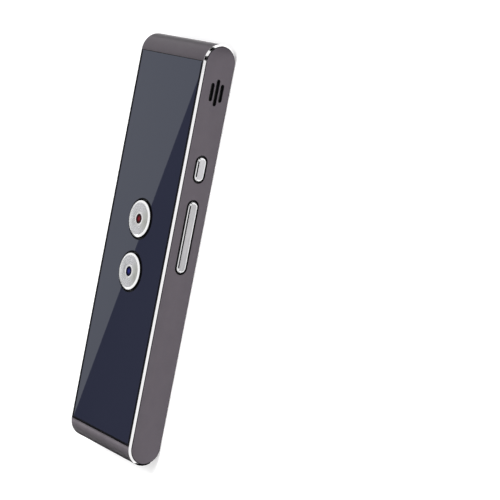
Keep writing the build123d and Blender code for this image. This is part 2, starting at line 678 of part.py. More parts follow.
# ---------------------------------------------------------------- main board
def main_board():
    """The main circuit board, cut away round the speaker, the bosses and the frame's posts."""
    board = block((BOARD_LEFT, BOARD_RIGHT), (BOARD_LOW_Y, BOARD_HIGH_Y), (BOARD_UNDER, BOARD_TOP))
    notch_x, notch_y = CRADLE_BACK - BOARD_GAP, SPEAKER_Y - CRADLE_HALF - BOARD_GAP
    board -= block((notch_x, BODY_WIDTH), (notch_y, BODY_LENGTH), (BOARD_UNDER, BOARD_TOP))
    for x, y in FRAME_SCREWS:
        board -= rod_z(x, y, BOARD_UNDER, BOARD_TOP, BOSS_DIAMETER / 2 + BOSS_CLEARANCE)
    for x, y in BOARD_SCREWS:
        board -= rod_z(x, y, BOARD_UNDER, BOARD_TOP, SCREW_DIAMETER / 2 + FIT_GAP)
    return board


def board_screws():
    """Four screws that hold the main board, two of them through the bracket's feet."""
    on_feet = [screw(x, y, BOARD_TOP + BRACKET_METAL) for x, y in BOARD_SCREWS[: len(FOOT_YS)]]
    return on_feet + [screw(x, y, BOARD_TOP) for x, y in BOARD_SCREWS[len(FOOT_YS) :]]


def radio_shield():
    """The folded steel can over the radio parts."""
    can = chip(SHIELD_X, SHIELD_Y, (SHIELD_SIDE, SHIELD_SIDE), SHIELD_HEIGHT)
    inner = SHIELD_SIDE - 2 * SHIELD_METAL
    return can - chip(SHIELD_X, SHIELD_Y, (inner, inner), SHIELD_HEIGHT - SHIELD_METAL)


def radio_chip():
    """The short-range radio package under its can."""
    return chip(SHIELD_X, SHIELD_Y, (CHARGER_SIDE, CHARGER_SIDE), CHIP_HEIGHT)


def board_passives():
    """Two rows of small chip parts beside the processor, and one beside the lower key."""
    parts = []
    for n in range(PASSIVE_COUNT):
        y = PROCESSOR_Y + (n - (PASSIVE_COUNT - 1) / 2) * PASSIVE_PITCH
        for x in (-PROCESSOR_SIDE / 2 - PASSIVE_PITCH, PROCESSOR_SIDE / 2 + PASSIVE_PITCH):
            parts.append(chip(x, y, PASSIVE_SIZE, PASSIVE_HEIGHT))
        low = BLUE_KEY_Y + SWITCH_SIDE + n * PASSIVE_PITCH
        parts.append(chip(-PROCESSOR_SIDE / 2 - PASSIVE_PITCH, low, PASSIVE_SIZE, PASSIVE_HEIGHT))
    return parts


# ---------------------------------------------------------------- battery and ribbon
def battery_cell():
    """The pouch cell, rounded along its edges."""
    cell = block((-CELL_HALF, CELL_HALF), (CELL_LOW_Y, CELL_HIGH_Y), (CELL_LOW_Z, CELL_HIGH_Z))
    return fillet(cell.edges().filter_by(Axis.Y), BATTERY_EDGE)


def battery_guard_board():
    """The small protection board across the top of the cell, level with the plug."""
    half, rise = CELL_HALF - BATTERY_EDGE, GUARD_BOARD_HEIGHT / 2
    return block((-half, half), (GUARD_LOW_Y, GUARD_HIGH_Y), (PLUG_Z - rise, PLUG_Z + rise))


def battery_tape():
    """The strip that sticks the cell to the housing's floor."""
    half = CELL_HALF - BATTERY_EDGE
    inset = BATTERY_EDGE
    return block((-half, half), (CELL_LOW_Y + inset, CELL_HIGH_Y - inset), (REAR_WALL, CELL_LOW_Z))


def battery_foam():
    """The foam pad between the cell, with the ribbon on it, and the frame."""
    half = CELL_HALF - BATTERY_EDGE
    inset = BATTERY_EDGE
    return block((-half, half), (CELL_LOW_Y + inset, CELL_HIGH_Y - inset), (FOAM_BOTTOM, FOAM_TOP))


def ribbon_socket(y, board_top):
    """A flat-cable socket, hollow where the ribbon enters."""
    half_l = RIBBON_SOCKET_LENGTH / 2
    x = (RIBBON_OFFSET - RIBBON_SOCKET_HALF, RIBBON_OFFSET + RIBBON_SOCKET_HALF)
    body = block(x, (y - half_l, y + half_l), (board_top, board_top + RIBBON_SOCKET_HEIGHT))
    half_cut = RIBBON_WIDTH / 2 + RUNNING_GAP
    middle = board_top + RIBBON_ENTRY
    rise = RIBBON_THICKNESS / 2 + FIT_GAP
    towards_battery = 1 if board_top == CHARGE_TOP else -1
    ends = sorted((y, y + towards_battery * (half_l + 1)))
    return body - block(
        (RIBBON_OFFSET - half_cut, RIBBON_OFFSET + half_cut), ends, (middle - rise, middle + rise)
    )


def ribbon_cable():
    """The flat cable from the charging board, over the cell, to the main board."""
    high, low = BOARD_TOP + RIBBON_ENTRY, CHARGE_TOP + RIBBON_ENTRY
    high_exit = MAIN_RIBBON_Y - RIBBON_SOCKET_LENGTH / 2
    low_exit = CHARGE_RIBBON_Y + RIBBON_SOCKET_LENGTH / 2
    path = FilletPolyline(
        (0, MAIN_RIBBON_Y, high),
        (0, high_exit - RIBBON_BEND * 1.5, high),
        (0, high_exit - RIBBON_BEND * 1.5, RIBBON_Z),
        (0, low_exit + RIBBON_BEND * 1.5, RIBBON_Z),
        (0, low_exit + RIBBON_BEND * 1.5, low),
        (0, CHARGE_RIBBON_Y, low),
        radius=RIBBON_BEND,
    )
    start = Plane(path @ 0, x_dir=(1, 0, 0), z_dir=path % 0)
    strip = sweep(start * Rectangle(RIBBON_WIDTH, RIBBON_THICKNESS), path)
    return Pos(RIBBON_OFFSET, 0, 0) * strip


def plug_block(wall, y0, y1):
    """A block about the battery connector's middle, drawn in by wall, from y0 to y1."""
    side, rise = PLUG_SIDE / 2 - wall, PLUG_HEIGHT / 2 - wall
    return block((PLUG_X - side, PLUG_X + side), (y0, y1), (PLUG_Z - rise, PLUG_Z + rise))


def battery_socket():
    """The battery connector's open shell on the main board."""
    low, high = PLUG_Y - PLUG_SIDE / 2, PLUG_Y + PLUG_SIDE / 2
    return plug_block(0, low, high) - plug_block(PLUG_WALL, low - 1, high - PLUG_WALL)


def lead_places():
    """The places across the plug of its two leads."""
    return [PLUG_X - LEAD_SPACING / 2, PLUG_X + LEAD_SPACING / 2]


def battery_plug():
    """The plug in the battery connector, bored for its two leads."""
    low, high = PLUG_Y - PLUG_SIDE / 2, PLUG_Y + PLUG_SIDE / 2 - PLUG_WALL
    plug = plug_block(PLUG_WALL + RUNNING_GAP, low, high)
    for x in lead_places():
        plug -= rod_y(x, PLUG_Z, low - 1, PLUG_Y, LEAD_DIAMETER / 2 + FIT_GAP)
    return plug


def battery_leads():
    """The two straight leads from the protection board to the plug."""
    return [rod_y(x, PLUG_Z, GUARD_HIGH_Y, PLUG_Y, LEAD_DIAMETER / 2) for x in lead_places()]


# ---------------------------------------------------------------- speaker
def speaker_basket():
    """The speaker's moulded frame, open at the front for the diaphragm."""
    half = SPEAKER_HALF
    y = (SPEAKER_Y - half, SPEAKER_Y + half)
    basket = block((SPEAKER_BACK, GASKET_FACE), y, (SPEAKER_LOW, SPEAKER_HIGH))
    inner_y = (y[0] + SPEAKER_RIM, y[1] - SPEAKER_RIM)
    inner_z = (SPEAKER_LOW + SPEAKER_RIM, SPEAKER_HIGH - SPEAKER_RIM)
    return basket - block((SPEAKER_BACK - 1, GASKET_FACE + 1), inner_y, inner_z)


def speaker_magnet():
    """The magnet and its steel cup, in the back half of the basket."""
    half = SPEAKER_HALF - SPEAKER_RIM - FIT_GAP
    z = (SPEAKER_LOW + SPEAKER_RIM + FIT_GAP, SPEAKER_HIGH - SPEAKER_RIM - FIT_GAP)
    back = (SPEAKER_BACK, SPEAKER_BACK + SPEAKER_DEPTH / 2)
    return block(back, (SPEAKER_Y - half, SPEAKER_Y + half), z)


def speaker_diaphragm():
    """The diaphragm: a flat rim and a raised middle, at the front of the basket."""
    half = SPEAKER_HALF - SPEAKER_RIM - FIT_GAP
    z = (SPEAKER_LOW + SPEAKER_RIM + FIT_GAP, SPEAKER_HIGH - SPEAKER_RIM - FIT_GAP)
    face = GASKET_FACE - DIAPHRAGM_THICKNESS
    rim = block((face - DIAPHRAGM_THICKNESS, face), (SPEAKER_Y - half, SPEAKER_Y + half), z)
    length, height = 2 * (half - SPEAKER_RIM), (z[1] - z[0]) / 2
    crown = stadium_x(SPEAKER_Y, SPEAKER_MID_Z, length, height, face, GASKET_FACE)
    return rim + crown


def speaker_front(shrink, x0, x1):
    """A block over the speaker's front, drawn in by shrink all round."""
    y = (SPEAKER_Y - SPEAKER_HALF + shrink, SPEAKER_Y + SPEAKER_HALF - shrink)
    return block((x0, x1), y, (SPEAKER_LOW + shrink, SPEAKER_HIGH - shrink))


def speaker_gasket():
    """The foam ring between the speaker and the side wall, round the slots."""
    opening = speaker_front(GASKET_RIM, GASKET_FACE - 1, INNER_X + 1)
    return speaker_front(0, GASKET_FACE, INNER_X) - opening


def speaker_mesh():
    """The dust mesh stuck behind the slots."""
    return speaker_front(GASKET_RIM + RUNNING_GAP, INNER_X - MESH_THICKNESS, INNER_X)


def speaker_cradle():
    """The tray that presses the speaker towards the slots, open at its front."""
    tray = block(
        (CRADLE_BACK, GASKET_FACE),
        (SPEAKER_Y - CRADLE_HALF, SPEAKER_Y + CRADLE_HALF),
        (CRADLE_LOW, CRADLE_HIGH),
    )
    half = SPEAKER_HALF + RUNNING_GAP
    pocket = block(
        (SPEAKER_BACK - RUNNING_GAP, GASKET_FACE + 1),
        (SPEAKER_Y - half, SPEAKER_Y + half),
        (SPEAKER_LOW - RUNNING_GAP, SPEAKER_HIGH + RUNNING_GAP),
    )
    tray -= pocket
    for side in (-1, 1):
        y = SPEAKER_Y + side * LEAD_SPACING
        z = BOARD_TOP + SPEAKER_LEAD_DIAMETER
        tray -= rod_x(y, z, CRADLE_BACK - 1, SPEAKER_BACK, SPEAKER_LEAD_DIAMETER / 2 + FIT_GAP)
    return tray


def speaker_leads():
    """Two short leads from the speaker's back to pads on the main board."""
    leads = []
    z = BOARD_TOP + SPEAKER_LEAD_DIAMETER
    for side in (-1, 1):
        y = SPEAKER_Y + side * LEAD_SPACING
        reach = CRADLE_BACK - BOARD_GAP - 1.5
        points = [
            (SPEAKER_BACK - FIT_GAP, y, z),
            (reach, y, z),
            (reach, y, BOARD_TOP),
        ]
        leads.append(wire_along(points, SPEAKER_LEAD_DIAMETER * 0.55, SPEAKER_LEAD_DIAMETER))
    return leads


# ---------------------------------------------------------------- charging board, socket, microphone
def charge_board():
    """The small board at the bottom end, narrower beside the microphone."""
    wide_y = -STRAIGHT_HALF + BOARD_GAP
    board = block(
        (-CHARGE_HALF, CHARGE_HALF), (wide_y, CHARGE_HIGH_Y), (CHARGE_UNDER, CHARGE_TOP)
    )
    narrow = MIC_OFFSET - BOOT_RADIUS - BOARD_GAP
    board += block((-CHARGE_HALF, narrow), (CHARGE_LOW_Y, wide_y), (CHARGE_UNDER, CHARGE_TOP))
    for x, y in FRAME_SCREWS:
        board -= rod_z(x, y, CHARGE_UNDER, CHARGE_TOP, BOSS_DIAMETER / 2 + BOSS_CLEARANCE)
    for x, y in CHARGE_SCREWS:
        board -= rod_z(x, y, CHARGE_UNDER, CHARGE_TOP, SCREW_DIAMETER / 2 + FIT_GAP)
    return board


def charge_board_screws():
    """Two screws that hold the charging board."""
    return [screw(x, y, CHARGE_TOP) for x, y in CHARGE_SCREWS]


def socket_outline(shrink):
    """The socket's section: a rectangle with its two lower corners cut off."""
    half_w, half_h = SOCKET_WIDTH / 2 - shrink, SOCKET_HEIGHT / 2 - shrink
    bevel = SOCKET_BEVEL - shrink / 2
    points = [
        (-half_w, half_h),
        (half_w, half_h),
        (half_w, bevel - half_h),
        (half_w - bevel, -half_h),
        (-half_w + bevel, -half_h),
        (-half_w, bevel - half_h),
    ]
    return make_face(Polyline(*points, close=True))


def along_socket(face, y0, y1):
    """A section in X and Z, drawn out along Y from y0 to y1."""
    start = Plane((0, y0, MID_Z), x_dir=(1, 0, 0), z_dir=(0, -1, 0))
    return extrude(start * face, -(y1 - y0))


def usb_shell():
    """The folded steel shell of the charging socket, standing on the charging board."""
    shell = along_socket(socket_outline(0), SOCKET_MOUTH_Y, SOCKET_REAR_Y)
    return shell - along_socket(
        socket_outline(SOCKET_METAL), SOCKET_MOUTH_Y - 1, SOCKET_REAR_Y + 1
    )


def usb_tongue():
    """The socket's insulator: a back block and the tongue that carries the contacts."""
    base_y = SOCKET_REAR_Y - SOCKET_DEPTH / 4
    base = along_socket(socket_outline(SOCKET_METAL + FIT_GAP), base_y, SOCKET_REAR_Y)
    half = TONGUE_WIDTH / 2
    reach = (SOCKET_MOUTH_Y + SOCKET_METAL, base_y)
    return base + block((-half, half), reach, (TONGUE_LOW_Z, TONGUE_TOP_Z))


def usb_contacts():
    """The gold contacts under the tongue."""
    z = (TONGUE_LOW_Z - CONTACT_THICKNESS, TONGUE_LOW_Z)
    y = (SOCKET_MOUTH_Y + 2 * SOCKET_METAL, SOCKET_REAR_Y - SOCKET_DEPTH / 4)
    contacts = []
    for n in range(CONTACT_COUNT):
        x = (n - (CONTACT_COUNT - 1) / 2) * CONTACT_PITCH
        half = CONTACT_WIDTH / 2
        contacts.append(block((x - half, x + half), y, z))
    return contacts


def microphone_boot():
    """The rubber boot that seals the microphone to its hole in the round end."""
    boot = rod_y(MIC_OFFSET, MID_Z, -HALF_LENGTH, BOOT_REAR_Y, BOOT_RADIUS)
    boot &= end_cavity(RUNNING_GAP)
    boot -= rod_y(MIC_OFFSET, MID_Z, MIC_FRONT_Y, BOOT_REAR_Y + 1, MIC_DIAMETER / 2 + FIT_GAP)
    return boot - rod_y(MIC_OFFSET, MID_Z, -HALF_LENGTH, BOOT_REAR_Y, MIC_HOLE_DIAMETER / 2)


def microphone():
    """The microphone capsule, with the small hole in its front."""
    capsule = rod_y(MIC_OFFSET, MID_Z, MIC_FRONT_Y, BOOT_REAR_Y, MIC_DIAMETER / 2)
    front = MIC_FRONT_Y + MIC_LENGTH / 4
    return capsule - rod_y(MIC_OFFSET, MID_Z, MIC_FRONT_Y - 1, front, MIC_HOLE_DIAMETER / 2)


def microphone_leads():
    """Two short leads from the capsule down to the charging board."""
    leads = []
    for side in (-1, 1):
        x = MIC_OFFSET + side * LEAD_SPACING / 2 - BOOT_WALL
        drop_y = -STRAIGHT_HALF + BOARD_GAP + MIC_LEAD_RUN
        points = [(x, BOOT_REAR_Y, MID_Z), (x, drop_y, MID_Z), (x, drop_y, CHARGE_TOP)]
        leads.append(wire_along(points, SPEAKER_LEAD_DIAMETER * 0.55, SPEAKER_LEAD_DIAMETER))
    return leads


def antenna_film():
    """The antenna film on the frame's underside, over the radio can."""
    half_x, half_y = ANTENNA_SIZE[0] / 2, ANTENNA_SIZE[1] / 2
    return block(
        (SHIELD_X - half_x, SHIELD_X + half_x),
        (SHIELD_Y - half_y, SHIELD_Y + half_y),
        (FRAME_UNDER - ANTENNA_THICKNESS, FRAME_UNDER),
    )


# ---------------------------------------------------------------- the whole assembly
def assembly():
    """Every node's name with its solid, or its list of separate solids."""
    down_y, up_y = volume_posts()
    nodes = {
        "rear_housing": rear_housing(),
        "front_panel": front_panel(),
        "panel_tape": panel_tape(),
        "front_frame": front_frame(),
        "frame_screws": frame_screws(),
        "main_board": main_board(),
        "board_screws": board_screws(),
        "processor_chip": chip(0, PROCESSOR_Y, (PROCESSOR_SIDE, PROCESSOR_SIDE), PROCESSOR_HEIGHT),
        "memory_chip": chip(0, MEMORY_Y, MEMORY_SIZE, CHIP_HEIGHT),
        "charger_chip": chip(
            CRADLE_BACK - CHARGER_INSET,
            SPEAKER_Y - CRADLE_HALF,
            (CHARGER_SIDE, CHARGER_SIDE),
            CHIP_HEIGHT,
        ),
        "clock_crystal": chip(
            -PROCESSOR_SIDE, PROCESSOR_Y - PROCESSOR_SIDE, CRYSTAL_SIZE, CHIP_HEIGHT
        ),
        "radio_shield": radio_shield(),
        "radio_chip": radio_chip(),
        "board_passives": board_passives(),
        "side_key_bracket": side_key_bracket(),
        "side_key_flex": side_key_flex(),
        "power_dome": side_dome(POWER_KEY_Y),
        "volume_down_dome": side_dome(down_y),
        "volume_up_dome": side_dome(up_y),
        "power_key_cap": side_cap(POWER_KEY_Y, POWER_KEY_LENGTH),
        "power_key_carrier": power_key_carrier(),
        "volume_key_cap": side_cap(VOLUME_KEY_Y, VOLUME_KEY_LENGTH),
        "volume_key_carrier": volume_key_carrier(),
        "battery_cell": battery_cell(),
        "battery_guard_board": battery_guard_board(),
        "battery_tape": battery_tape(),
        "battery_foam": battery_foam(),
        "battery_socket": battery_socket(),
        "battery_plug": battery_plug(),
        "battery_leads": battery_leads(),
        "ribbon_cable": ribbon_cable(),
        "main_ribbon_socket": ribbon_socket(MAIN_RIBBON_Y, BOARD_TOP),
        "charge_ribbon_socket": ribbon_socket(CHARGE_RIBBON_Y, CHARGE_TOP),
        "speaker_basket": speaker_basket(),
        "speaker_magnet": speaker_magnet(),
        "speaker_diaphragm": speaker_diaphragm(),
        "speaker_gasket": speaker_gasket(),
        "speaker_mesh": speaker_mesh(),
        "speaker_cradle": speaker_cradle(),
        "speaker_leads": speaker_leads(),
        "charge_board": charge_board(),
        "charge_board_screws": charge_board_screws(),
        "usb_shell": usb_shell(),
        "usb_tongue": usb_tongue(),
        "usb_contacts": usb_contacts(),
        "microphone": microphone(),
        "microphone_boot": microphone_boot(),
        "microphone_leads": microphone_leads(),
        "antenna_film": antenna_film(),
    }
    for colour, y in (("red", RED_KEY_Y), ("blue", BLUE_KEY_Y)):
        nodes[f"{colour}_key_cap"] = key_cap(y)
        nodes[f"{colour}_key_dot"] = key_dot(y)
        nodes[f"{colour}_key_carrier"] = key_carrier(y)
        nodes[f"{colour}_key_switch"] = key_switch(y)
        nodes[f"{colour}_key_plunger"] = key_plunger(y)
    return nodes


def main():
    """Writes one STEP file for each node."""
    os.makedirs("parts", exist_ok=True)
    for name, shape in assembly().items():
        if isinstance(shape, list):
            shape = Compound(children=shape)
        export_step(shape, f"parts/{name}.step")


if __name__ == "__main__":
    main()
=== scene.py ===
"""Dressed model of a slim handheld translator with two round keys and two side keys.

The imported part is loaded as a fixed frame. The pieces that show are modelled new around it,
each in a class of its own. Every other node keeps its shape and gets its own finish. A plain
studio with a pale floor is set round the device. Sizes are in millimetres until they are
handed to Blender, and z = 0 is the back of the device.
"""

from __future__ import annotations

import logging
import math
from collections.abc import Callable, Iterable, Iterator
from contextlib import contextmanager
from dataclasses import dataclass
from enum import Enum

import bmesh
import bpy
from mathutils import Matrix, Vector

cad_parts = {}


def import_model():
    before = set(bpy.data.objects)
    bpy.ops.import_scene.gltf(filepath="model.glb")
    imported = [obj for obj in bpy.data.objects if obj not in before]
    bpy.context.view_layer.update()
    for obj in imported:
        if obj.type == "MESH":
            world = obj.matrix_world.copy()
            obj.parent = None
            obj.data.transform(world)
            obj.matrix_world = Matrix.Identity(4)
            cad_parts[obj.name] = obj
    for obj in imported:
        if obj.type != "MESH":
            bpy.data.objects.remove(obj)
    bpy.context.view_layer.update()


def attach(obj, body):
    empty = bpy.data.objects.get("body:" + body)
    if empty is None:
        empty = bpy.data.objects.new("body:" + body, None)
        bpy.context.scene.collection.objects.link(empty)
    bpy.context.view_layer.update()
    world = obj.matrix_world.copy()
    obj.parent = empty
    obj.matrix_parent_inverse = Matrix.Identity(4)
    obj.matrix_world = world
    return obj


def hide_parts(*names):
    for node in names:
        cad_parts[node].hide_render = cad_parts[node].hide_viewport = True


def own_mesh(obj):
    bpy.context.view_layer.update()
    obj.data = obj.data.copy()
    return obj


LOG = logging.getLogger("translator")
MM = 0.001

# The driving sizes of the device, as its solids have them, in millimetres.
LENGTH, WIDTH, THICKNESS = 140.0, 38.4, 12.6
WALL = 1.2
KEY_Y = {"red": 8.8, "blue": -8.95, "power": 29.2, "volume": 6.75}
SIDE_ROW = THICKNESS / 2  # height of the side keys and of what stands behind them
DOME_REACH = 8.0  # from the volume key's middle to the domes under its ends

# Tolerances, in metres for vertices that are compared with each other or with a plane ...
WELD = 2e-6  # closer vertices are one vertex
TOUCH = 2e-6  # a vertex this close to a plane lies on it
# ... and in millimetres for places on the device.
SLACK = 0.01  # places that differ by less are the same place
SKIN = 0.1  # a face this close to the outline is part of the outside
CLEAR = 1.0  # what is this far from an outline has no part in it
OVER = 1.0  # how far a cutter goes on past what it cuts

# How a face lies, as the share of its normal along an axis, and how sharp an edge is.
FLAT = 0.99
FACING = 0.9
UPRIGHT = 0.2
SHARP = math.radians(60)
SMOOTH_BELOW = math.radians(28)

# Levels under the device, which lies on z = 0, in millimetres.
FLOOR_LEVEL = -0.02
MAT_LEVEL = -0.01

Point = tuple[float, float, float]
Pair = tuple[float, float]
Tone = tuple[float, float, float]
Test = Callable[[object], bool]
Socket = bpy.types.NodeSocket


def metres(point: Iterable[float]) -> Vector:
    """A point given in millimetres, as a vector in metres."""
    return Vector(point) * MM


def ball_radius(reach: float, rise: float) -> float:
    """Radius of the ball that a dome of this radius and rise is cut from."""
    return (reach**2 + rise**2) / (2 * rise)


# ------------------------------------------------------------------ the workbench
class Axis(Enum):
    """An axis of the device, by its place in a vector."""

    X = 0
    Y = 1
    Z = 2


class Pick(Enum):
    """What an edit-mode selection is made of."""

    EDGES = "EDGE"
    FACES = "FACE"


class Join(Enum):
    """How a second shape is worked into a piece."""

    CUT = "DIFFERENCE"
    WELD_ON = "UNION"


def only(piece: bpy.types.Object) -> None:
    """Leaves one object selected and active.

    Args:
        piece: The object.
    """
    bpy.ops.object.select_all(action="DESELECT")
    piece.select_set(True)
    bpy.context.view_layer.objects.active = piece


class Bench:
    """One mesh on the workbench: a primitive that is shaped in edit mode."""

    def __init__(self, name: str, add: Callable[..., set[str]], **size: object) -> None:
        """Adds a primitive at its size and place, and fixes both in its mesh.

        Args:
            name: Name of the piece.
            add: The operator that adds the primitive.
            **size: What the operator is given, in metres.
        """
        bpy.ops.object.select_all(action="DESELECT")
        add(**size)
        self.piece = bpy.context.active_object
        self.piece.name = self.piece.data.name = name
        bpy.ops.object.transform_apply(location=True, rotation=True, scale=True)

    @contextmanager
    def editing(self) -> Iterator[None]:
        """Opens edit mode on this piece alone, and closes it again."""
        only(self.piece)
        bpy.ops.object.mode_set(mode="EDIT")
        yield
        bpy.ops.object.mode_set(mode="OBJECT")

    def select(self, kind: Pick, test: Test) -> int:
        """Selects parts of the mesh by their place or direction, and nothing else.

        Args:
            kind: Edges or faces.
            test: Says of each part whether it is meant.

        Returns:
            How many parts were found.
        """
        bpy.ops.mesh.select_mode(type=kind.value)
        bpy.ops.mesh.select_all(action="DESELECT")
        mesh = bmesh.from_edit_mesh(self.piece.data)
        parts = mesh.edges if kind is Pick.EDGES else mesh.faces
        found = [part for part in parts if test(part)]
        for part in found:
            part.select_set(True)
        mesh.select_flush_mode()
        bmesh.update_edit_mesh(self.piece.data)
        return len(found)

    def step_in(self, inwards: float, move: Point) -> None:
        """Insets the selected face and moves the new inner face.

        Args:
            inwards: Width of the border that the inset leaves, in millimetres.
            move: How far the inner face moves, in millimetres.
        """
        bpy.ops.mesh.inset(thickness=inwards * MM, depth=0, use_boundary=True)
        bpy.ops.transform.translate(value=metres(move))

    def sink(self, move: Point) -> None:
        """Extrudes the selected face by a move in millimetres."""
        bpy.ops.mesh.extrude_region_move(TRANSFORM_OT_translate={"value": metres(move)})

    def soften(self, test: Test, width: float, segments: int = 2) -> None:
        """Bevels the edges that the test names.

        Args:
            test: Says of each edge whether it is meant.
            width: Width of the bevel on each side, in millimetres.
            segments: Number of faces across it; one is a flat chamfer.
        """
        if self.select(Pick.EDGES, test):
            bpy.ops.mesh.bevel(
                offset_type="OFFSET",
                offset=width * MM,
                segments=segments,
                profile=0.5,
                affect="EDGES",
                clamp_overlap=False,
                loop_slide=True,
            )

    def weld(self) -> None:
        """Makes doubled vertices one."""
        bpy.ops.mesh.select_all(action="SELECT")
        bpy.ops.mesh.remove_doubles(threshold=WELD)

    def close_up(self) -> None:
        """Welds doubled vertices and turns all faces outwards."""
        self.weld()
        bpy.ops.mesh.select_all(action="SELECT")
        bpy.ops.mesh.normals_make_consistent(inside=False)

    def combine(self, other: Bench, how: Join) -> None:
        """Cuts another shape out of this one or welds it on, and uses it up.

        Args:
            other: The second shape.
            how: Whether it is cut out or welded on.
        """
        only(self.piece)
        modifier = self.piece.modifiers.new(how.name.lower(), "BOOLEAN")
        modifier.operation = how.value
        modifier.solver = "EXACT"
        modifier.object = other.piece
        bpy.ops.object.modifier_apply(modifier=modifier.name)
        bpy.data.objects.remove(other.piece)

    def gather(self, others: Iterable[Bench]) -> Bench:
        """Makes this shape and others that don't touch it one mesh.

        Args:
            others: The other shapes, which are used up.

        Returns:
            This bench.
        """
        only(self.piece)
        for other in others:
            other.piece.select_set(True)
        bpy.ops.object.join()
        return self

    def smooth(self) -> None:
        """Shades the rounded faces smooth while flat faces stay flat."""
        only(self.piece)
        bpy.ops.object.shade_smooth_by_angle(angle=SMOOTH_BELOW)
        modifier = self.piece.modifiers.new("flat_faces", "WEIGHTED_NORMAL")
        modifier.keep_sharp = True
        bpy.ops.object.modifier_apply(modifier=modifier.name)

    def dress(
        self, finishes: tuple[Finish, ...], zone: Callable[[Vector, Vector], Finish]
    ) -> None:
        """Gives each face its finish.

        Args:
            finishes: All finishes of the piece, in the order of its material slots.
            zone: Says which of them a face has, from its middle, in millimetres, and its normal.
        """
        self.piece.data.materials.clear()
        for finish in finishes:
            self.piece.data.materials.append(finish.material())
        for face in self.piece.data.polygons:
            face.material_index = finishes.index(zone(face.center / MM, face.normal))

    def settle(self, body: str, slot: str, *nodes: str) -> None:
        """Puts the finished piece on its body, in place of the nodes that it stands for.

        Args:
            body: The body that it moves with.
            slot: The record's material slot; not used.
            *nodes: The nodes that it replaces.
        """
        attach(self.piece, body)
        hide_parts(*nodes)
        LOG.info("%s: %d faces on %s", self.piece.name, len(self.piece.data.polygons), body)


def rod(name: str, centre: Point, radius: float, length: float, along: Axis, sides: int) -> Bench:
    """A round bar with closed ends.

    Args:
        name: Name of the piece.
        centre: Its middle, in millimetres.
        radius: Its radius, in millimetres.
        length: Its length, in millimetres.
        along: The axis that it lies along.
        sides: Number of faces round it.

    Returns:
        The bar on its bench.
    """
    quarter = math.pi / 2
    turn = {Axis.X: (0, quarter, 0), Axis.Y: (quarter, 0, 0), Axis.Z: (0, 0, 0)}[along]
    return Bench(
        name,
        bpy.ops.mesh.primitive_cylinder_add,
        vertices=sides,
        radius=radius * MM,
        depth=length * MM,
        location=metres(centre),
        rotation=turn,
    )


def slab(name: str, low: Point, high: Point) -> Bench:
    """A rectangular block.

    Args:
        name: Name of the piece.
        low: Its lowest corner, in millimetres.
        high: Its highest corner, in millimetres.

    Returns:
        The block on its bench.
    """
    size = Vector(high) - Vector(low)
    return Bench(
        name,
        bpy.ops.mesh.primitive_cube_add,
        size=1,
        location=metres((Vector(low) + Vector(high)) / 2),
        scale=size * MM,
    )


@dataclass(frozen=True)
class Bar:
    """A bar across the device, long in Y, with a section that is round at both ends.

    Attributes:
        middle: Middle of the section in Y and Z.
        length: Overall length in Y.
        height: Height in Z, which is the diameter of the round ends.
        near: X where the bar begins.
        far: X where it stops.
        sides: Number of faces round both ends together, a multiple of four.
    """

    middle: Pair
    length: float
    height: float
    near: float
    far: float
    sides: int = 64

    def build(self, name: str) -> Bench:
        """Parts a round tube in two, draws the halves apart, and closes what is open.

        Args:
            name: Name of the piece.

        Returns:
            The closed bar on its bench.
        """
        y, z = self.middle
        radius = self.height / 2
        apart = self.length / 2 - radius
        bench = Bench(
            name,
            bpy.ops.mesh.primitive_cylinder_add,
            vertices=self.sides,
            radius=radius * MM,
            depth=(self.far - self.near) * MM,
            end_fill_type="NOTHING",
            location=metres(((self.near + self.far) / 2, y, z)),
            rotation=(0, math.pi / 2, 0),
        )
        with bench.editing():
            bench.select(Pick.FACES, lambda f: f.calc_center_median().y < y * MM)
            bpy.ops.mesh.split()
            bpy.ops.transform.translate(value=metres((0, -apart, 0)))
            bpy.ops.mesh.select_all(action="INVERT")
            bpy.ops.transform.translate(value=metres((0, apart, 0)))
            for side in (-1, 1):
                bench.select(Pick.EDGES, lambda e, s=side: self._seam(e, apart, s))
                bpy.ops.mesh.edge_face_add()
            for end in (self.near, self.far):
                bench.select(Pick.EDGES, lambda e, x=end: on_plane(e.verts, Axis.X, x))
                bpy.ops.mesh.edge_face_add()
            bench.close_up()
        return bench

    def _seam(self, edge: object, apart: float, side: int) -> bool:
        """Whether an edge is one of the two that face each other across a flat side.

        Args:
            edge: The edge.
            apart: How far the halves were drawn from the middle, in millimetres.
            side: 1 for the flat side on top, -1 for the one below.

        Returns:
            True for those two edges.
        """
        y, z = self.middle
        level = (z + side * self.height / 2) * MM
        return all(
            abs(v.co.z - level) < TOUCH and abs(abs(v.co.y - y * MM) - apart * MM) < TOUCH
            for v in edge.verts
        )


def on_plane(vertices: Iterable[object], axis: Axis, place: float) -> bool:
    """Whether all vertices lie on the plane at a place, in millimetres, on an axis."""
    return all(abs(v.co[axis.value] - place * MM) < TOUCH for v in vertices)


def turn_between(edge: object) -> float:
    """The angle between the two faces at an edge, or nothing at an open edge."""
    return edge.calc_face_angle(0.0) if len(edge.link_faces) == 2 else 0.0


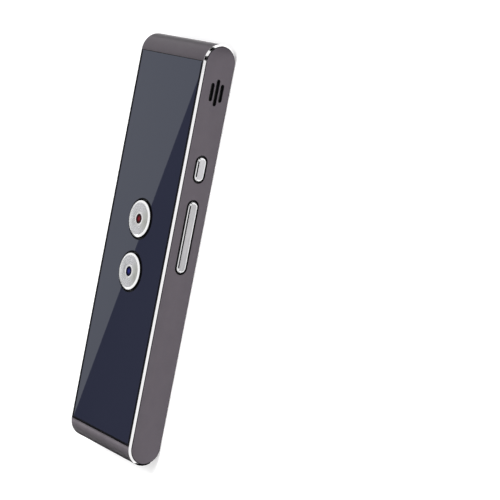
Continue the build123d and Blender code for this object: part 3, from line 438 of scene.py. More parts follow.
# ------------------------------------------------------------------ finishes
class Wiring:
    """A node tree while it is being wired."""

    def __init__(self, tree: bpy.types.NodeTree) -> None:
        """Takes the tree to work in."""
        self.tree = tree

    @classmethod
    def of(cls, owner: bpy.types.Material | bpy.types.World) -> Wiring:
        """Empties the node tree of a material or of the surroundings.

        Args:
            owner: The material or the surroundings.

        Returns:
            The wiring of the empty tree.
        """
        owner.use_nodes = True
        owner.node_tree.nodes.clear()
        return cls(owner.node_tree)

    def add(
        self, kind: str, inputs: dict[str | int, object] | None = None, **settings: object
    ) -> bpy.types.Node:
        """Adds a node.

        Args:
            kind: The node's type.
            inputs: What goes into its sockets: a value, or another node's output.
            **settings: The node's own options.

        Returns:
            The node.
        """
        node = self.tree.nodes.new(kind)
        for name, value in settings.items():
            setattr(node, name, value)
        for key, value in (inputs or {}).items():
            self.feed(node.inputs[key], value)
        return node

    def feed(self, target: Socket, value: object) -> None:
        """Joins an output to an input, or sets the input to a value.

        Args:
            target: The input.
            value: The output or the value.
        """
        if isinstance(value, Socket):
            self.tree.links.new(value, target)
        else:
            target.default_value = value

    def maths(self, operation: str, first: object, second: object = 0.0) -> Socket:
        """The result of an operation on one or two numbers."""
        node = self.add("ShaderNodeMath", {0: first, 1: second}, operation=operation)
        return node.outputs[0]

    def weighted(self, *parts: tuple[object, object]) -> Socket:
        """Adds up several values, each multiplied by its weight.

        Args:
            *parts: Each value with its weight.

        Returns:
            The sum.
        """
        total, *others = (self.maths("MULTIPLY", value, weight) for value, weight in parts)
        for other in others:
            total = self.maths("ADD", total, other)
        return total

    def scaled(self, vector: object, by: Point) -> Socket:
        """A vector multiplied axis by axis."""
        node = self.add("ShaderNodeVectorMath", {0: vector, 1: by}, operation="MULTIPLY")
        return node.outputs[0]

    def noise(self, vector: object, detail: float = 2.0, rough: float = 0.5) -> Socket:
        """Soft noise with features about one unit apart.

        Args:
            vector: Where it is read.
            detail: Number of finer layers.
            rough: How strong these are.

        Returns:
            The noise, from 0 to 1.
        """
        settings = {"Vector": vector, "Scale": 1.0, "Detail": detail, "Roughness": rough}
        return self.add("ShaderNodeTexNoise", settings).outputs["Fac"]

    def between(self, value: object, low: float, high: float) -> Socket:
        """A smooth step.

        Args:
            value: What is compared.
            low: Where the step begins, at 0.
            high: Where it ends, at 1.

        Returns:
            The step's height.
        """
        node = self.add(
            "ShaderNodeMapRange",
            {"Value": value, "From Min": low, "From Max": high},
            interpolation_type="SMOOTHSTEP",
        )
        return node.outputs["Result"]

    def apart(self, vector: object) -> tuple[Socket, ...]:
        """A vector's X, Y and Z."""
        return tuple(self.add("ShaderNodeSeparateXYZ", {0: vector}).outputs)


class Relief(Enum):
    """The small surface structure of a finish, each drawn by a node group of its own."""

    BLASTED = "Blasted grain"
    MOULDED = "Moulded skin"
    DRAWN = "Drawn lines"
    TURNED = "Turned grooves"
    WOVEN = "Woven wires"
    CELLS = "Foam cells"
    WRINKLED = "Foil wrinkles"
    TRACKS = "Board tracks"
    STRIPES = "Film conductors"
    # The inlay's gradient is painted shade, darker towards its rim.
    LENS = "Lens gradient"


class ReliefKit:
    """The node groups that the finishes share. Each is made once, when it is first asked for."""

    _made: dict[str, bpy.types.NodeTree] = {}

    @classmethod
    def relief(cls, kind: Relief) -> bpy.types.NodeTree:
        """Draws a relief.

        Args:
            kind: The relief.

        Returns:
            Its group: Vector and Size go in, Mask and Height come out.
        """
        if kind.value not in cls._made:
            takes = {"Vector": "Vector", "Size": "Float"}
            gives = {"Mask": "Float", "Height": "Float"}
            wiring, entry, leave = cls._open(kind.value, takes, gives)
            unit = wiring.add(
                "ShaderNodeVectorMath",
                {0: entry["Vector"], "Scale": wiring.maths("DIVIDE", 1.0, entry["Size"])},
                operation="SCALE",
            ).outputs[0]
            mask, height = getattr(cls, f"_{kind.name.lower()}")(wiring, unit)
            wiring.feed(leave["Mask"], mask)
            wiring.feed(leave["Height"], height)
        return cls._made[kind.value]

    @classmethod
    def tone(cls) -> bpy.types.NodeTree:
        """Runs a finish between its two tones as a mask says.

        Returns:
            The group.
        """
        if "Tone drift" not in cls._made:
            wiring, entry, leave = cls._open(
                "Tone drift",
                {"Tone": "Color", "Second": "Color", "Mask": "Float", "Amount": "Float"},
                {"Color": "Color"},
            )
            share = wiring.maths("MULTIPLY", entry["Mask"], entry["Amount"])
            tones = {0: share, 6: entry["Tone"], 7: entry["Second"]}
            mixed = wiring.add("ShaderNodeMix", tones, data_type="RGBA")
            wiring.feed(leave["Color"], mixed.outputs[2])
        return cls._made["Tone drift"]

    @classmethod
    def handling(cls) -> bpy.types.NodeTree:
        """Makes touched surfaces a little duller, in soft patches and fine streaks.

        Returns:
            The group.
        """
        if "Handling" not in cls._made:
            numbers = {label: "Float" for label in ("Mask", "Base", "Swing", "Touched")}
            wiring, entry, leave = cls._open(
                "Handling", {"Vector": "Vector", **numbers}, {"Roughness": "Float"}
            )
            place = entry["Vector"]
            soft = wiring.noise(wiring.scaled(place, (90, 60, 90)), detail=3.0)
            patch = wiring.between(soft, 0.45, 0.75)
            fine = wiring.noise(wiring.scaled(place, (3000, 160, 3000)), detail=1.0)
            streak = wiring.between(fine, 0.66, 0.8)
            touched = wiring.maths("ADD", patch, wiring.maths("MULTIPLY", streak, 0.5))
            swing = wiring.maths("SUBTRACT", entry["Mask"], 0.5)
            change = wiring.weighted((touched, entry["Touched"]), (swing, entry["Swing"]))
            wiring.feed(leave["Roughness"], wiring.maths("ADD", entry["Base"], change))
        return cls._made["Handling"]

    @classmethod
    def _open(
        cls, name: str, takes: dict[str, str], gives: dict[str, str]
    ) -> tuple[Wiring, bpy.types.NodeOutputs, bpy.types.NodeInputs]:
        """Starts a group and names its sockets.

        Args:
            name: Name of the group.
            takes: Name and type of each input.
            gives: Name and type of each output.

        Returns:
            The wiring of the group, its inputs and its outputs.
        """
        tree = bpy.data.node_groups.new(name, "ShaderNodeTree")
        cls._made[name] = tree
        for direction, sockets in (("INPUT", takes), ("OUTPUT", gives)):
            for label, kind in sockets.items():
                tree.interface.new_socket(label, in_out=direction, socket_type=f"NodeSocket{kind}")
        wiring = Wiring(tree)
        entry, leave = wiring.add("NodeGroupInput"), wiring.add("NodeGroupOutput")
        return wiring, entry.outputs, leave.inputs

    @staticmethod
    def _blasted(wiring: Wiring, unit: Socket) -> tuple[Socket, Socket]:
        """Even grain of tiny pits, with a slow drift of tone.

        Args:
            wiring: The wiring of the relief's group.
            unit: Position, in units of the relief's size.

        Returns:
            The mask and the height.
        """
        grain = wiring.noise(unit, rough=0.65)
        drift = wiring.noise(wiring.scaled(unit, (0.03, 0.02, 0.03)), detail=3.0)
        mask = wiring.weighted((drift, 0.6), (grain, 0.4))
        return wiring.between(mask, 0.3, 0.7), grain

    @staticmethod
    def _moulded(wiring: Wiring, unit: Socket) -> tuple[Socket, Socket]:
        """Spark-eroded skin: soft bumps and a few pits.

        Args:
            wiring: The wiring of the relief's group.
            unit: Position, in units of the relief's size.

        Returns:
            The mask and the height.
        """
        bumps = wiring.noise(unit, detail=3.0, rough=0.6)
        pits = wiring.add(
            "ShaderNodeTexVoronoi", {"Vector": unit, "Scale": 0.7}, feature="SMOOTH_F1"
        ).outputs["Distance"]
        height = wiring.weighted((bumps, 0.6), (pits, 0.4))
        drift = wiring.noise(wiring.scaled(unit, (0.07, 0.07, 0.07)), detail=3.0)
        return wiring.between(drift, 0.3, 0.7), height

    @staticmethod
    def _drawn(wiring: Wiring, unit: Socket) -> tuple[Socket, Socket]:
        """Fine lines along Y, as rolling or brushing leaves them.

        Args:
            wiring: The wiring of the relief's group.
            unit: Position, in units of the relief's size.

        Returns:
            The mask and the height.
        """
        lines = wiring.noise(wiring.scaled(unit, (1.0, 0.012, 1.0)), detail=3.0, rough=0.6)
        broad = wiring.noise(wiring.scaled(unit, (0.12, 0.006, 0.12)))
        mask = wiring.weighted((lines, 0.5), (broad, 0.5))
        return wiring.between(mask, 0.35, 0.65), lines

    @staticmethod
    def _turned(wiring: Wiring, unit: Socket) -> tuple[Socket, Socket]:
        """Concentric grooves round Z, as a turning tool leaves them, and a painted reflection: a
        darker sector each side, deeper on the +X side.

        Args:
            wiring: The wiring of the relief's group.
            unit: Position, in units of the relief's size.

        Returns:
            The mask and the height.
        """
        x, y, _ = wiring.apart(unit)
        across, along = (wiring.maths("MULTIPLY", value, value) for value in (x, y))
        whole = wiring.maths("ADD", across, along)
        radius = wiring.maths("SQRT", whole)
        # Painted reflection: the mask rises towards the X axis on both sides, more on the +X side,
        # for a darker sector each side.
        painted_reflection_wedge = wiring.maths("DIVIDE", across, whole)
        lean = wiring.maths("MULTIPLY", wiring.maths("DIVIDE", x, radius), 0.35)
        painted_reflection_wedge = wiring.maths("MULTIPLY", painted_reflection_wedge, wiring.maths("ADD", lean, 0.65))
        grooves, bands = (
            wiring.add(
                "ShaderNodeTexNoise",
                {"W": wiring.maths("MULTIPLY", radius, rate), "Scale": 1.0, "Detail": 2.0},
                noise_dimensions="1D",
            ).outputs["Fac"]
            for rate in (1.0, 0.22)
        )
        cloud = wiring.noise(wiring.scaled(unit, (0.05, 0.05, 0.05)))
        mask = wiring.weighted((bands, 0.35), (cloud, 0.25), (painted_reflection_wedge, 0.4))
        return wiring.between(mask, 0.3, 0.7), grooves

    @staticmethod
    def _woven(wiring: Wiring, unit: Socket) -> tuple[Socket, Socket]:
        """Wires that cross at right angles in the local XY plane, with open squares between them.

        Args:
            wiring: The wiring of the relief's group.
            unit: Position, in units of the relief's size.

        Returns:
            The mask and the height.
        """
        x, y, _ = wiring.apart(unit)
        wave = [
            wiring.maths("ABSOLUTE", wiring.maths("SINE", wiring.maths("MULTIPLY", value, math.pi)))
            for value in (x, y)
        ]
        height = wiring.maths("MAXIMUM", *wave)
        return wiring.between(height, 0.75, 0.9), height

    @staticmethod
    def _cells(wiring: Wiring, unit: Socket) -> tuple[Socket, Socket]:
        """Open foam cells with thin ridges between them.

        Args:
            wiring: The wiring of the relief's group.
            unit: Position, in units of the relief's size.

        Returns:
            The mask and the height.
        """
        cells = wiring.add("ShaderNodeTexVoronoi", {"Vector": unit, "Scale": 1.0})
        cell = cells.outputs["Distance"]
        drift = wiring.noise(wiring.scaled(unit, (0.2, 0.2, 0.2)))
        mask = wiring.maths("MULTIPLY", wiring.between(cell, 0.1, 0.7), drift)
        return mask, cell

    @staticmethod
    def _wrinkled(wiring: Wiring, unit: Socket) -> tuple[Socket, Socket]:
        """Long soft creases in a foil.

        Args:
            wiring: The wiring of the relief's group.
            unit: Position, in units of the relief's size.

        Returns:
            The mask and the height.
        """
        crease = wiring.noise(wiring.scaled(unit, (1.0, 0.35, 1.0)), detail=3.0, rough=0.45)
        signed = wiring.maths("SUBTRACT", wiring.maths("MULTIPLY", crease, 2.0), 1.0)
        return wiring.between(crease, 0.3, 0.7), wiring.maths("ABSOLUTE", signed)

    @staticmethod
    def _tracks(wiring: Wiring, unit: Socket) -> tuple[Socket, Socket]:
        """Copper tracks under solder mask, in bundles that change direction field by field.

        Args:
            wiring: The wiring of the relief's group.
            unit: Position, in units of the relief's size.

        Returns:
            The mask and the height.
        """
        field = wiring.add(
            "ShaderNodeTexVoronoi",
            {"Vector": wiring.scaled(unit, (0.1, 0.07, 0.0)), "Scale": 1.0, "Randomness": 0.8},
            distance="CHEBYCHEV",
        )
        choice = wiring.apart(field.outputs["Color"])[0]
        upright, level = (
            wiring.between(wiring.maths("PINGPONG", value, 0.5), 0.2, 0.28)
            for value in wiring.apart(unit)[:2]
        )
        across = wiring.maths("GREATER_THAN", choice, 0.5)
        picked = wiring.weighted((upright, across), (level, wiring.maths("SUBTRACT", 1.0, across)))
        edge = wiring.between(field.outputs["Distance"], 0.45, 0.4)
        copper = wiring.maths("MULTIPLY", picked, edge)
        weave = wiring.noise(wiring.scaled(unit, (0.8, 0.8, 0.8)))
        return wiring.weighted((copper, 0.8), (weave, 0.2)), copper

    @staticmethod
    def _stripes(wiring: Wiring, unit: Socket) -> tuple[Socket, Socket]:
        """Flat conductors side by side, running along Y.

        Args:
            wiring: The wiring of the relief's group.
            unit: Position, in units of the relief's size.

        Returns:
            The mask and the height.
        """
        x = wiring.apart(unit)[0]
        stripe = wiring.between(wiring.maths("PINGPONG", x, 0.5), 0.2, 0.26)
        grain = wiring.noise(wiring.scaled(unit, (3.0, 0.4, 3.0)))
        return wiring.weighted((stripe, 0.8), (grain, 0.2)), stripe

    @staticmethod
    def _lens(wiring: Wiring, unit: Socket) -> tuple[Socket, Socket]:
        """Painted shade: a tone that deepens from the middle to the rim, one unit out.

        Args:
            wiring: The wiring of the relief's group.
            unit: Position, in units of the relief's size.

        Returns:
            The mask and the height.
        """
        x, y, _ = wiring.apart(unit)
        radius = wiring.maths("SQRT", wiring.weighted((x, x), (y, y)))
        grain = wiring.noise(wiring.scaled(unit, (14.0, 14.0, 14.0)))
        return wiring.between(radius, 0.0, 0.75), grain


@dataclass(frozen=True)
class Finish:
    """How one surface looks. Lengths are in millimetres.

    Attributes:
        name: Name of the material.
        tone: Main colour, linear.
        second: Colour that the relief's mask leads to, linear.
        relief: The small structure of the surface.
        size: Size of one grain, line or cell of the relief.
        depth: Depth of the relief.
        rough: Roughness.
        metal: 1 for bare metal, 0 for anything else.
        amount: How far the mask leads to the second colour.
        swing: How much the roughness follows the mask.
        touched: How much handling dulls the surface.
        coat: Weight of a clear coat.
        sheen: Weight of a soft sheen.
        ior: Index of refraction.
        tint: Colour of its reflections.
        grooved: Anisotropy round the piece's own middle.
        centre: Where the relief is centred.
        turn: How the relief is turned, in degrees about X, Y and Z.
    """

    name: str
    tone: Tone
    second: Tone
    relief: Relief
    size: float
    depth: float
    rough: float
    metal: float = 0.0
    amount: float = 1.0
    swing: float = 0.08
    touched: float = 0.0
    coat: float = 0.0
    sheen: float = 0.0
    ior: float = 1.5
    tint: Tone = (1.0, 1.0, 1.0)
    grooved: float = 0.0
    centre: Point = (0.0, 0.0, 0.0)
    turn: Point = (0.0, 0.0, 0.0)

    def material(self) -> bpy.types.Material:
        """Makes the material of this finish, unless it is there.

        Returns:
            The material.
        """
        made = bpy.data.materials.get(self.name)
        if made is not None:
            return made
        made = bpy.data.materials.new(self.name)
        wiring = Wiring.of(made)
        place = wiring.add("ShaderNodeTexCoord").outputs["Object"]
        local = wiring.add(
            "ShaderNodeMapping",
            {
                "Vector": place,
                "Location": metres(self.centre),
                "Rotation": [math.radians(angle) for angle in self.turn],
            },
            vector_type="TEXTURE",
        ).outputs[0]
        relief = wiring.add(
            "ShaderNodeGroup",
            {"Vector": local, "Size": self.size * MM},
            node_tree=ReliefKit.relief(self.relief),
        ).outputs
        tone = wiring.add(
            "ShaderNodeGroup",
            {
                "Tone": (*self.tone, 1.0),
                "Second": (*self.second, 1.0),
                "Mask": relief["Mask"],
                "Amount": self.amount,
            },
            node_tree=ReliefKit.tone(),
        ).outputs
        dull = wiring.add(
            "ShaderNodeGroup",
            {
                "Vector": place,
                "Mask": relief["Mask"],
                "Base": self.rough,
                "Swing": self.swing,
                "Touched": self.touched,
            },
            node_tree=ReliefKit.handling(),
        ).outputs
        bump = wiring.add(
            "ShaderNodeBump",
            {"Height": relief["Height"], "Strength": 1.0, "Distance": self.depth * MM},
        ).outputs
        surface = wiring.add(
            "ShaderNodeBsdfPrincipled",
            {
                "Base Color": tone["Color"],
                "Roughness": dull["Roughness"],
                "Normal": bump[0],
                "Metallic": self.metal,
                "IOR": self.ior,
                "Specular Tint": (*self.tint, 1.0),
                "Coat Weight": self.coat,
                "Coat Roughness": 0.05,
                "Sheen Weight": self.sheen,
                "Anisotropic": self.grooved,
            },
        )
        if self.grooved:
            tangent = wiring.add("ShaderNodeTangent", direction_type="RADIAL", axis="Z")
            wiring.feed(surface.inputs["Tangent"], tangent.outputs[0])
        wiring.add("ShaderNodeOutputMaterial", {"Surface": surface.outputs[0]})
        return made


class Finishes:
    """Every finish on the device, by the slot that it belongs to."""

    HOUSING = Finish(
        "housing_blasted", (0.118, 0.1045, 0.119), (0.1115, 0.0985, 0.113), Relief.BLASTED,
        size=0.11, depth=0.003, rough=0.36, metal=1.0, swing=0.03, touched=0.03,
    )
    CUT_EDGE = Finish(
        "housing_cut_edge", (0.95, 0.94, 0.945), (0.90, 0.89, 0.90), Relief.DRAWN,
        size=0.05, depth=0.0004, rough=0.12, metal=1.0, swing=0.05, touched=0.02,
    )
    # Near-black painted gap shade, for gaps, opening walls and the fine line by the cut edge, where
    # shade falls.
    PAINTED_GAP_SHADE = Finish(
        "housing_painted_gap_shade", (0.003, 0.003, 0.004), (0.006, 0.006, 0.008), Relief.MOULDED,
        size=0.08, depth=0.002, rough=0.5, swing=0.08, ior=1.2,
    )
    INSIDE = Finish(
        "housing_milled_inside", (0.10, 0.088, 0.097), (0.15, 0.135, 0.145), Relief.DRAWN,
        size=0.12, depth=0.004, rough=0.5, metal=1.0, swing=0.12,
    )
    GLASS = Finish(
        "panel_glass", (0.0222, 0.0247, 0.0437), (0.0232, 0.0257, 0.0447), Relief.MOULDED,
        size=2.5, depth=0.00001, rough=0.008, swing=0.002, touched=0.002,
        ior=1.42, tint=(0.88, 0.98, 1.0),
    )
    # Near-black painted gap shade, a band along the panel's sides, lower end and key holes where
    # the gap shows in shade.
    PANEL_SHADE_BAND = Finish(
        "panel_painted_shade_band", (0.004, 0.004, 0.006), (0.006, 0.006, 0.009), Relief.MOULDED,
        size=0.1, depth=0.0005, rough=0.25, swing=0.06, ior=1.1,
    )
    PANEL_BACK = Finish(
        "panel_back_print", (0.008, 0.008, 0.010), (0.014, 0.014, 0.016), Relief.MOULDED,
        size=0.15, depth=0.002, rough=0.6,
    )
    KEY_RIM = Finish(
        "key_polished_rim", (0.96, 0.96, 0.965), (0.92, 0.92, 0.925), Relief.MOULDED,
        size=0.3, depth=0.0001, rough=0.24, metal=1.0, swing=0.02,
    )
    KEY_RING = Finish(
        "key_satin_ring", (0.93, 0.92, 0.93), (0.86, 0.85, 0.86), Relief.DRAWN,
        size=0.06, depth=0.0004, rough=0.3, metal=1.0, swing=0.04,
    )
    SIDE_KEY_EDGE = Finish(
        "side_key_bevel", (0.80, 0.80, 0.81), (0.74, 0.74, 0.75), Relief.DRAWN,
        size=0.05, depth=0.0005, rough=0.14, metal=1.0, swing=0.05,
    )
    FRAME = Finish(
        "frame_plastic", (0.035, 0.036, 0.040), (0.055, 0.056, 0.060), Relief.MOULDED,
        size=0.18, depth=0.006, rough=0.55,
    )
    DARK = Finish(
        "dark_plastic", (0.022, 0.022, 0.025), (0.036, 0.036, 0.040), Relief.MOULDED,
        size=0.14, depth=0.005, rough=0.5,
    )
    WHITE = Finish(
        "white_plastic", (0.72, 0.71, 0.67), (0.64, 0.63, 0.58), Relief.MOULDED,
        size=0.16, depth=0.004, rough=0.42,
    )
    RUBBER = Finish(
        "soft_rubber", (0.018, 0.018, 0.019), (0.034, 0.033, 0.033), Relief.MOULDED,
        size=0.1, depth=0.008, rough=0.8, sheen=0.2,
    )
    TAPE = Finish(
        "adhesive_film", (0.03, 0.03, 0.032), (0.06, 0.06, 0.062), Relief.CELLS,
        size=0.35, depth=0.01, rough=0.6,
    )
    FOAM = Finish(
        "foam_pad", (0.045, 0.045, 0.048), (0.012, 0.012, 0.013), Relief.CELLS,
        size=0.32, depth=0.05, rough=0.95, sheen=0.3,
    )
    BOARD = Finish(
        "circuit_board", (0.010, 0.075, 0.035), (0.060, 0.190, 0.085), Relief.TRACKS,
        size=0.45, depth=0.02, rough=0.35, swing=-0.1, coat=0.25,
    )
    RESIN = Finish(
        "chip_resin", (0.020, 0.020, 0.022), (0.040, 0.040, 0.042), Relief.MOULDED,
        size=0.09, depth=0.004, rough=0.5,
    )
    FILM = Finish(
        "flex_film", (0.30, 0.105, 0.018), (0.52, 0.23, 0.06), Relief.STRIPES,
        size=0.7, depth=0.02, rough=0.35, coat=0.2,
    )
    STEEL = Finish(
        "plated_steel", (0.66, 0.65, 0.63), (0.52, 0.51, 0.49), Relief.DRAWN,
        size=0.14, depth=0.002, rough=0.3, metal=1.0, swing=0.12, touched=0.05,
    )
    DOME = Finish(
        "dome_steel", (0.72, 0.71, 0.69), (0.58, 0.57, 0.55), Relief.DRAWN,
        size=0.08, depth=0.001, rough=0.22, metal=1.0, swing=0.08,
    )
    GOLD = Finish(
        "gold_contact", (0.86, 0.58, 0.20), (0.70, 0.44, 0.14), Relief.DRAWN,
        size=0.06, depth=0.001, rough=0.22, metal=1.0,
    )
    FOIL = Finish(
        "cell_foil", (0.55, 0.56, 0.58), (0.42, 0.43, 0.45), Relief.WRINKLED,
        size=5.0, depth=0.06, rough=0.34, metal=1.0, swing=0.12,
    )
    LEAD = Finish(
        "lead_sleeve", (0.30, 0.012, 0.012), (0.20, 0.008, 0.008), Relief.MOULDED,
        size=0.12, depth=0.004, rough=0.4,
    )
    MAGNET = Finish(
        "magnet_steel", (0.40, 0.40, 0.41), (0.30, 0.30, 0.31), Relief.BLASTED,
        size=0.16, depth=0.004, rough=0.38, metal=1.0,
    )
    DIAPHRAGM = Finish(
        "speaker_film", (0.05, 0.05, 0.055), (0.10, 0.10, 0.11), Relief.WRINKLED,
        size=1.6, depth=0.02, rough=0.4, coat=0.3,
    )
    MESH = Finish(
        "steel_mesh", (0.004, 0.004, 0.005), (0.060, 0.058, 0.060), Relief.WOVEN,
        size=0.28, depth=0.04, rough=0.5, metal=0.6, swing=-0.1, turn=(0.0, 90.0, 0.0),
    )

    @staticmethod
    def turned_face(colour: str, y: float) -> Finish:
        """The spun face of a round key.

        Args:
            colour: Which of the two keys it is.
            y: Where the grooves are centred.

        Returns:
            The finish.
        """
        # The second tone, on the mask, is partly tone drift and partly a painted reflection: a
        # darker sector each side of the face.
        return Finish(
            f"{colour}_key_turned_face", (0.765, 0.765, 0.795), (0.66, 0.67, 0.635), Relief.TURNED,
            size=0.085, depth=0.0032, rough=0.3, metal=1.0, swing=0.08, grooved=0.75,
            centre=(0.0, y, 0.0),
        )

    @staticmethod
    def side_face(key: str, tone: float) -> Finish:
        """The satin face of a side key.

        Args:
            key: Which of the two keys it is.
            tone: How bright it is; the two keys differ in it as painted light.

        Returns:
            The finish.
        """
        bright = (tone, 0.985 * tone, 1.015 * tone)
        dim = (0.88 * tone, 0.87 * tone, 0.89 * tone)
        return Finish(
            f"{key}_key_satin_face", bright, dim, Relief.DRAWN,
            size=0.09, depth=0.0015, rough=0.3, metal=1.0, swing=0.08, touched=0.03,
        )


# ------------------------------------------------------------------ the outside
@dataclass
class HousingShell:
    """The metal tub: back, side walls and both round ends in one piece.

    Attributes:
        length: Overall length.
        width: Overall width.
        thickness: Overall thickness, which is the diameter of the round ends.
        wall: Thickness of all walls.
        cut: Size of the bright cut edge round each side face.
        edge_round: Rounding where the cut edge meets the outside.
        painted_shade_line: Width of the line of painted shade where the cut edge meets the side
            face.
        line_lean: Share of its normal along X that tells this line from the cut edge.
        rim_round: Rounding of the openings' rims.
        end_room: How much wider the gap at the panel's lower end is.
        side_row: Height of the side keys.
        windows: Middle in Y and length of each side key's window.
        window_height: Height of these windows.
        slots_middle: Y and Z of the middle of the sound slots.
        slots: Height above that middle and length of each slot.
        slot_width: Width of a slot.
        mic_hole: X and diameter of the microphone's hole.
        socket: Half width and half height of the charging socket's opening.
        socket_corner: Rounding of that opening's corners.
        post_diameter: Diameter of the screw posts on the floor.
        screw_hole: Diameter and depth of the hole in a post.
        hole_floor: What is left under that hole in a low post.
        posts: X, Y and top of every post.
        battery_stop: Two corners of the rib that the battery lies against.
        stop_round: Rounding of its upper edges.
        seat: Two corners of the block that carries the volume key's trunnion.
        seat_axis: X, Y and radius of the hollow in it.
        ends: Number of faces round both ends together.
    """

    length: float = LENGTH
    width: float = WIDTH
    thickness: float = THICKNESS
    wall: float = WALL
    cut: float = 0.72
    edge_round: float = 0.05
    painted_shade_line: float = 0.15
    line_lean: float = 0.75
    rim_round: float = 0.09
    end_room: float = 0.15
    side_row: float = SIDE_ROW
    windows: tuple[Pair, ...] = ((KEY_Y["power"], 9.2), (KEY_Y["volume"], 24.8))
    window_height: float = 4.7
    slots_middle: Pair = (54.4, 5.8)
    slots: tuple[Pair, ...] = ((-1.9, 5.9), (0.0, 8.7), (1.9, 5.9))
    slot_width: float = 1.3
    mic_hole: Pair = (11.0, 1.0)
    socket: Pair = (4.05, 1.55)
    socket_corner: float = 0.775
    post_diameter: float = 3.6
    screw_hole: Pair = (1.44, 3.25)
    hole_floor: float = 0.3
    posts: tuple[Point, ...] = (
        (-15.1, 61.0, 10.15), (9.75, 61.0, 10.15), (-15.1, -15.55, 10.15),
        (15.1, -15.55, 10.15), (-15.1, -57.3, 10.15), (15.1, -57.3, 10.15),
        (13.4, -2.6, 4.6), (13.4, 32.75, 4.6), (-14.7, -2.6, 4.6), (-14.7, 32.75, 4.6),
        (-10.1, -57.3, 4.25), (2.7, -57.3, 4.25),
    )
    battery_stop: tuple[Point, Point] = ((-16.75, -53.6, 0.6), (16.75, -52.8, 2.6))
    stop_round: float = 0.2
    seat: tuple[Point, Point] = ((15.55, 5.15, 0.6), (16.95, 8.35, 3.4))
    seat_axis: Point = (17.15, KEY_Y["volume"], 0.85)
    ends: int = 256

    @property
    def middle(self) -> float:
        """Height of the axis of the round ends."""
        return self.thickness / 2

    @property
    def straight(self) -> float:
        """Half the length of the straight part."""
        return self.length / 2 - self.middle

    def build(self) -> None:
        """Builds the shell and puts it on the device."""
        shell = self._outside()
        shell.combine(self._hollow(), Join.CUT)
        shell.combine(self._mouth(), Join.CUT)
        shell.combine(self._fittings(), Join.WELD_ON)
        shell.combine(self._openings(), Join.CUT)
        with shell.editing():
            shell.weld()
            shell.soften(self._rim_edge, self.rim_round)
        shell.smooth()
        finishes = (Finishes.HOUSING, Finishes.CUT_EDGE, Finishes.PAINTED_GAP_SHADE, Finishes.INSIDE)
        shell.dress(finishes, self._zone)
        shell.settle("device", "housing_metal", "rear_housing")

    def _bar(self, inset: float, sides: int) -> Bar:
        """The housing's outline, drawn in on all sides.

        Args:
            inset: How far it is drawn in.
            sides: Number of faces round both ends together.

        Returns:
            The bar with that outline.
        """
        half = self.width / 2 - inset
        length, height = self.length - 2 * inset, self.thickness - 2 * inset
        return Bar((0.0, self.middle), length, height, -half, half, sides)

    def _outside(self) -> Bench:
        """Shapes the outer form with its cut edges and their slight rounding.

        Returns:
            The solid outer form.
        """
        half = self.width / 2
        shell = self._bar(0.0, self.ends).build("housing_shell")
        cuts = [(x, self.cut, 1) for x in (-half, half)]
        # The faces of these narrow bevels take the painted gap shade.
        lines = [(x, self.painted_shade_line, 2) for x in (-half, half)]
        rounds = [(x, self.edge_round, 2) for x in (self.cut - half, half - self.cut)]
        with shell.editing():
            for x, width, segments in cuts + lines + rounds:
                shell.soften(lambda e, x=x: on_plane(e.verts, Axis.X, x), width, segments)
        return shell

    def _hollow(self) -> Bench:
        """The space inside the walls."""
        return self._bar(self.wall, self.ends // 2).build("hollow")

    def _mouth(self) -> Bench:
        """Shapes the opening that the front panel fills, with more room at its lower end.

        Returns:
            The block to cut out.
        """
        half = self.width / 2 - self.wall
        low = -self.straight - self.end_room
        top = self.thickness + OVER
        return slab("mouth", (-half, low, self.middle), (half, self.straight, top))

    def _fittings(self) -> Bench:
        """Shapes the screw posts, the battery's stop and the rocker's seat on the floor.

        Returns:
            All of them as one shape, which reaches into the floor.
        """
        posts = [self._post(*post) for post in self.posts]
        stop = slab("battery_stop", *self.battery_stop)
        top = self.battery_stop[1][2]
        with stop.editing():
            stop.soften(lambda e: on_plane(e.verts, Axis.Z, top), self.stop_round)
        seat = slab("rocker_seat", *self.seat)
        x, y, radius = self.seat_axis
        axle = (x, y, self.middle)
        seat.combine(rod("trunnion", axle, radius, self.thickness, Axis.Z, sides=32), Join.CUT)
        return stop.gather([seat, *posts])

    def _post(self, x: float, y: float, top: float) -> Bench:
        """Turns a screw post and bores it.

        Args:
            x: X of its axis.
            y: Y of its axis.
            top: Height of its top.

        Returns:
            The post.
        """
        floor = self.wall / 2
        bore, deep = self.screw_hole
        radius, middle = self.post_diameter / 2, (floor + top) / 2
        post = rod("post", (x, y, middle), radius, top - floor, Axis.Z, sides=40)
        depth = min(deep, top - floor - self.hole_floor)
        middle = top - depth / 2 + OVER / 2
        hole = rod("bore", (x, y, middle), bore / 2, depth + OVER, Axis.Z, sides=24)
        post.combine(hole, Join.CUT)
        return post

    def _openings(self) -> Bench:
        """Shapes all that is cut through the walls: windows, slots, socket and sound hole.

        Returns:
            All of it as one shape.
        """
        near, far = self.width / 2 - 2 * self.wall, self.width / 2 + self.wall
        cuts = [
            Bar((y, self.side_row), length, self.window_height, near, far).build("window")
            for y, length in self.windows
        ]
        y, z = self.slots_middle
        cuts += [
            Bar((y, z + up), length, self.slot_width, near, far, sides=40).build("slot")
            for up, length in self.slots
        ]
        x, diameter = self.mic_hole
        y = -self.length / 2 + self.wall / 2
        middle, through = (x, y, self.middle), 3 * self.wall
        cuts.append(rod("sound_hole", middle, diameter / 2, through, Axis.Y, sides=32))
        half_w, half_h = self.socket
        opening = slab(
            "socket_opening",
            (-half_w, y - through / 2, self.middle - half_h),
            (half_w, y + through / 2, self.middle + half_h),
        )
        with opening.editing():
            opening.soften(self._runs_along_y, self.socket_corner, segments=8)
        return opening.gather(cuts)

    @staticmethod
    def _runs_along_y(edge: object) -> bool:
        """Whether an edge runs along Y."""
        start, end = (v.co for v in edge.verts)
        return abs(start.x - end.x) < TOUCH and abs(start.z - end.z) < TOUCH

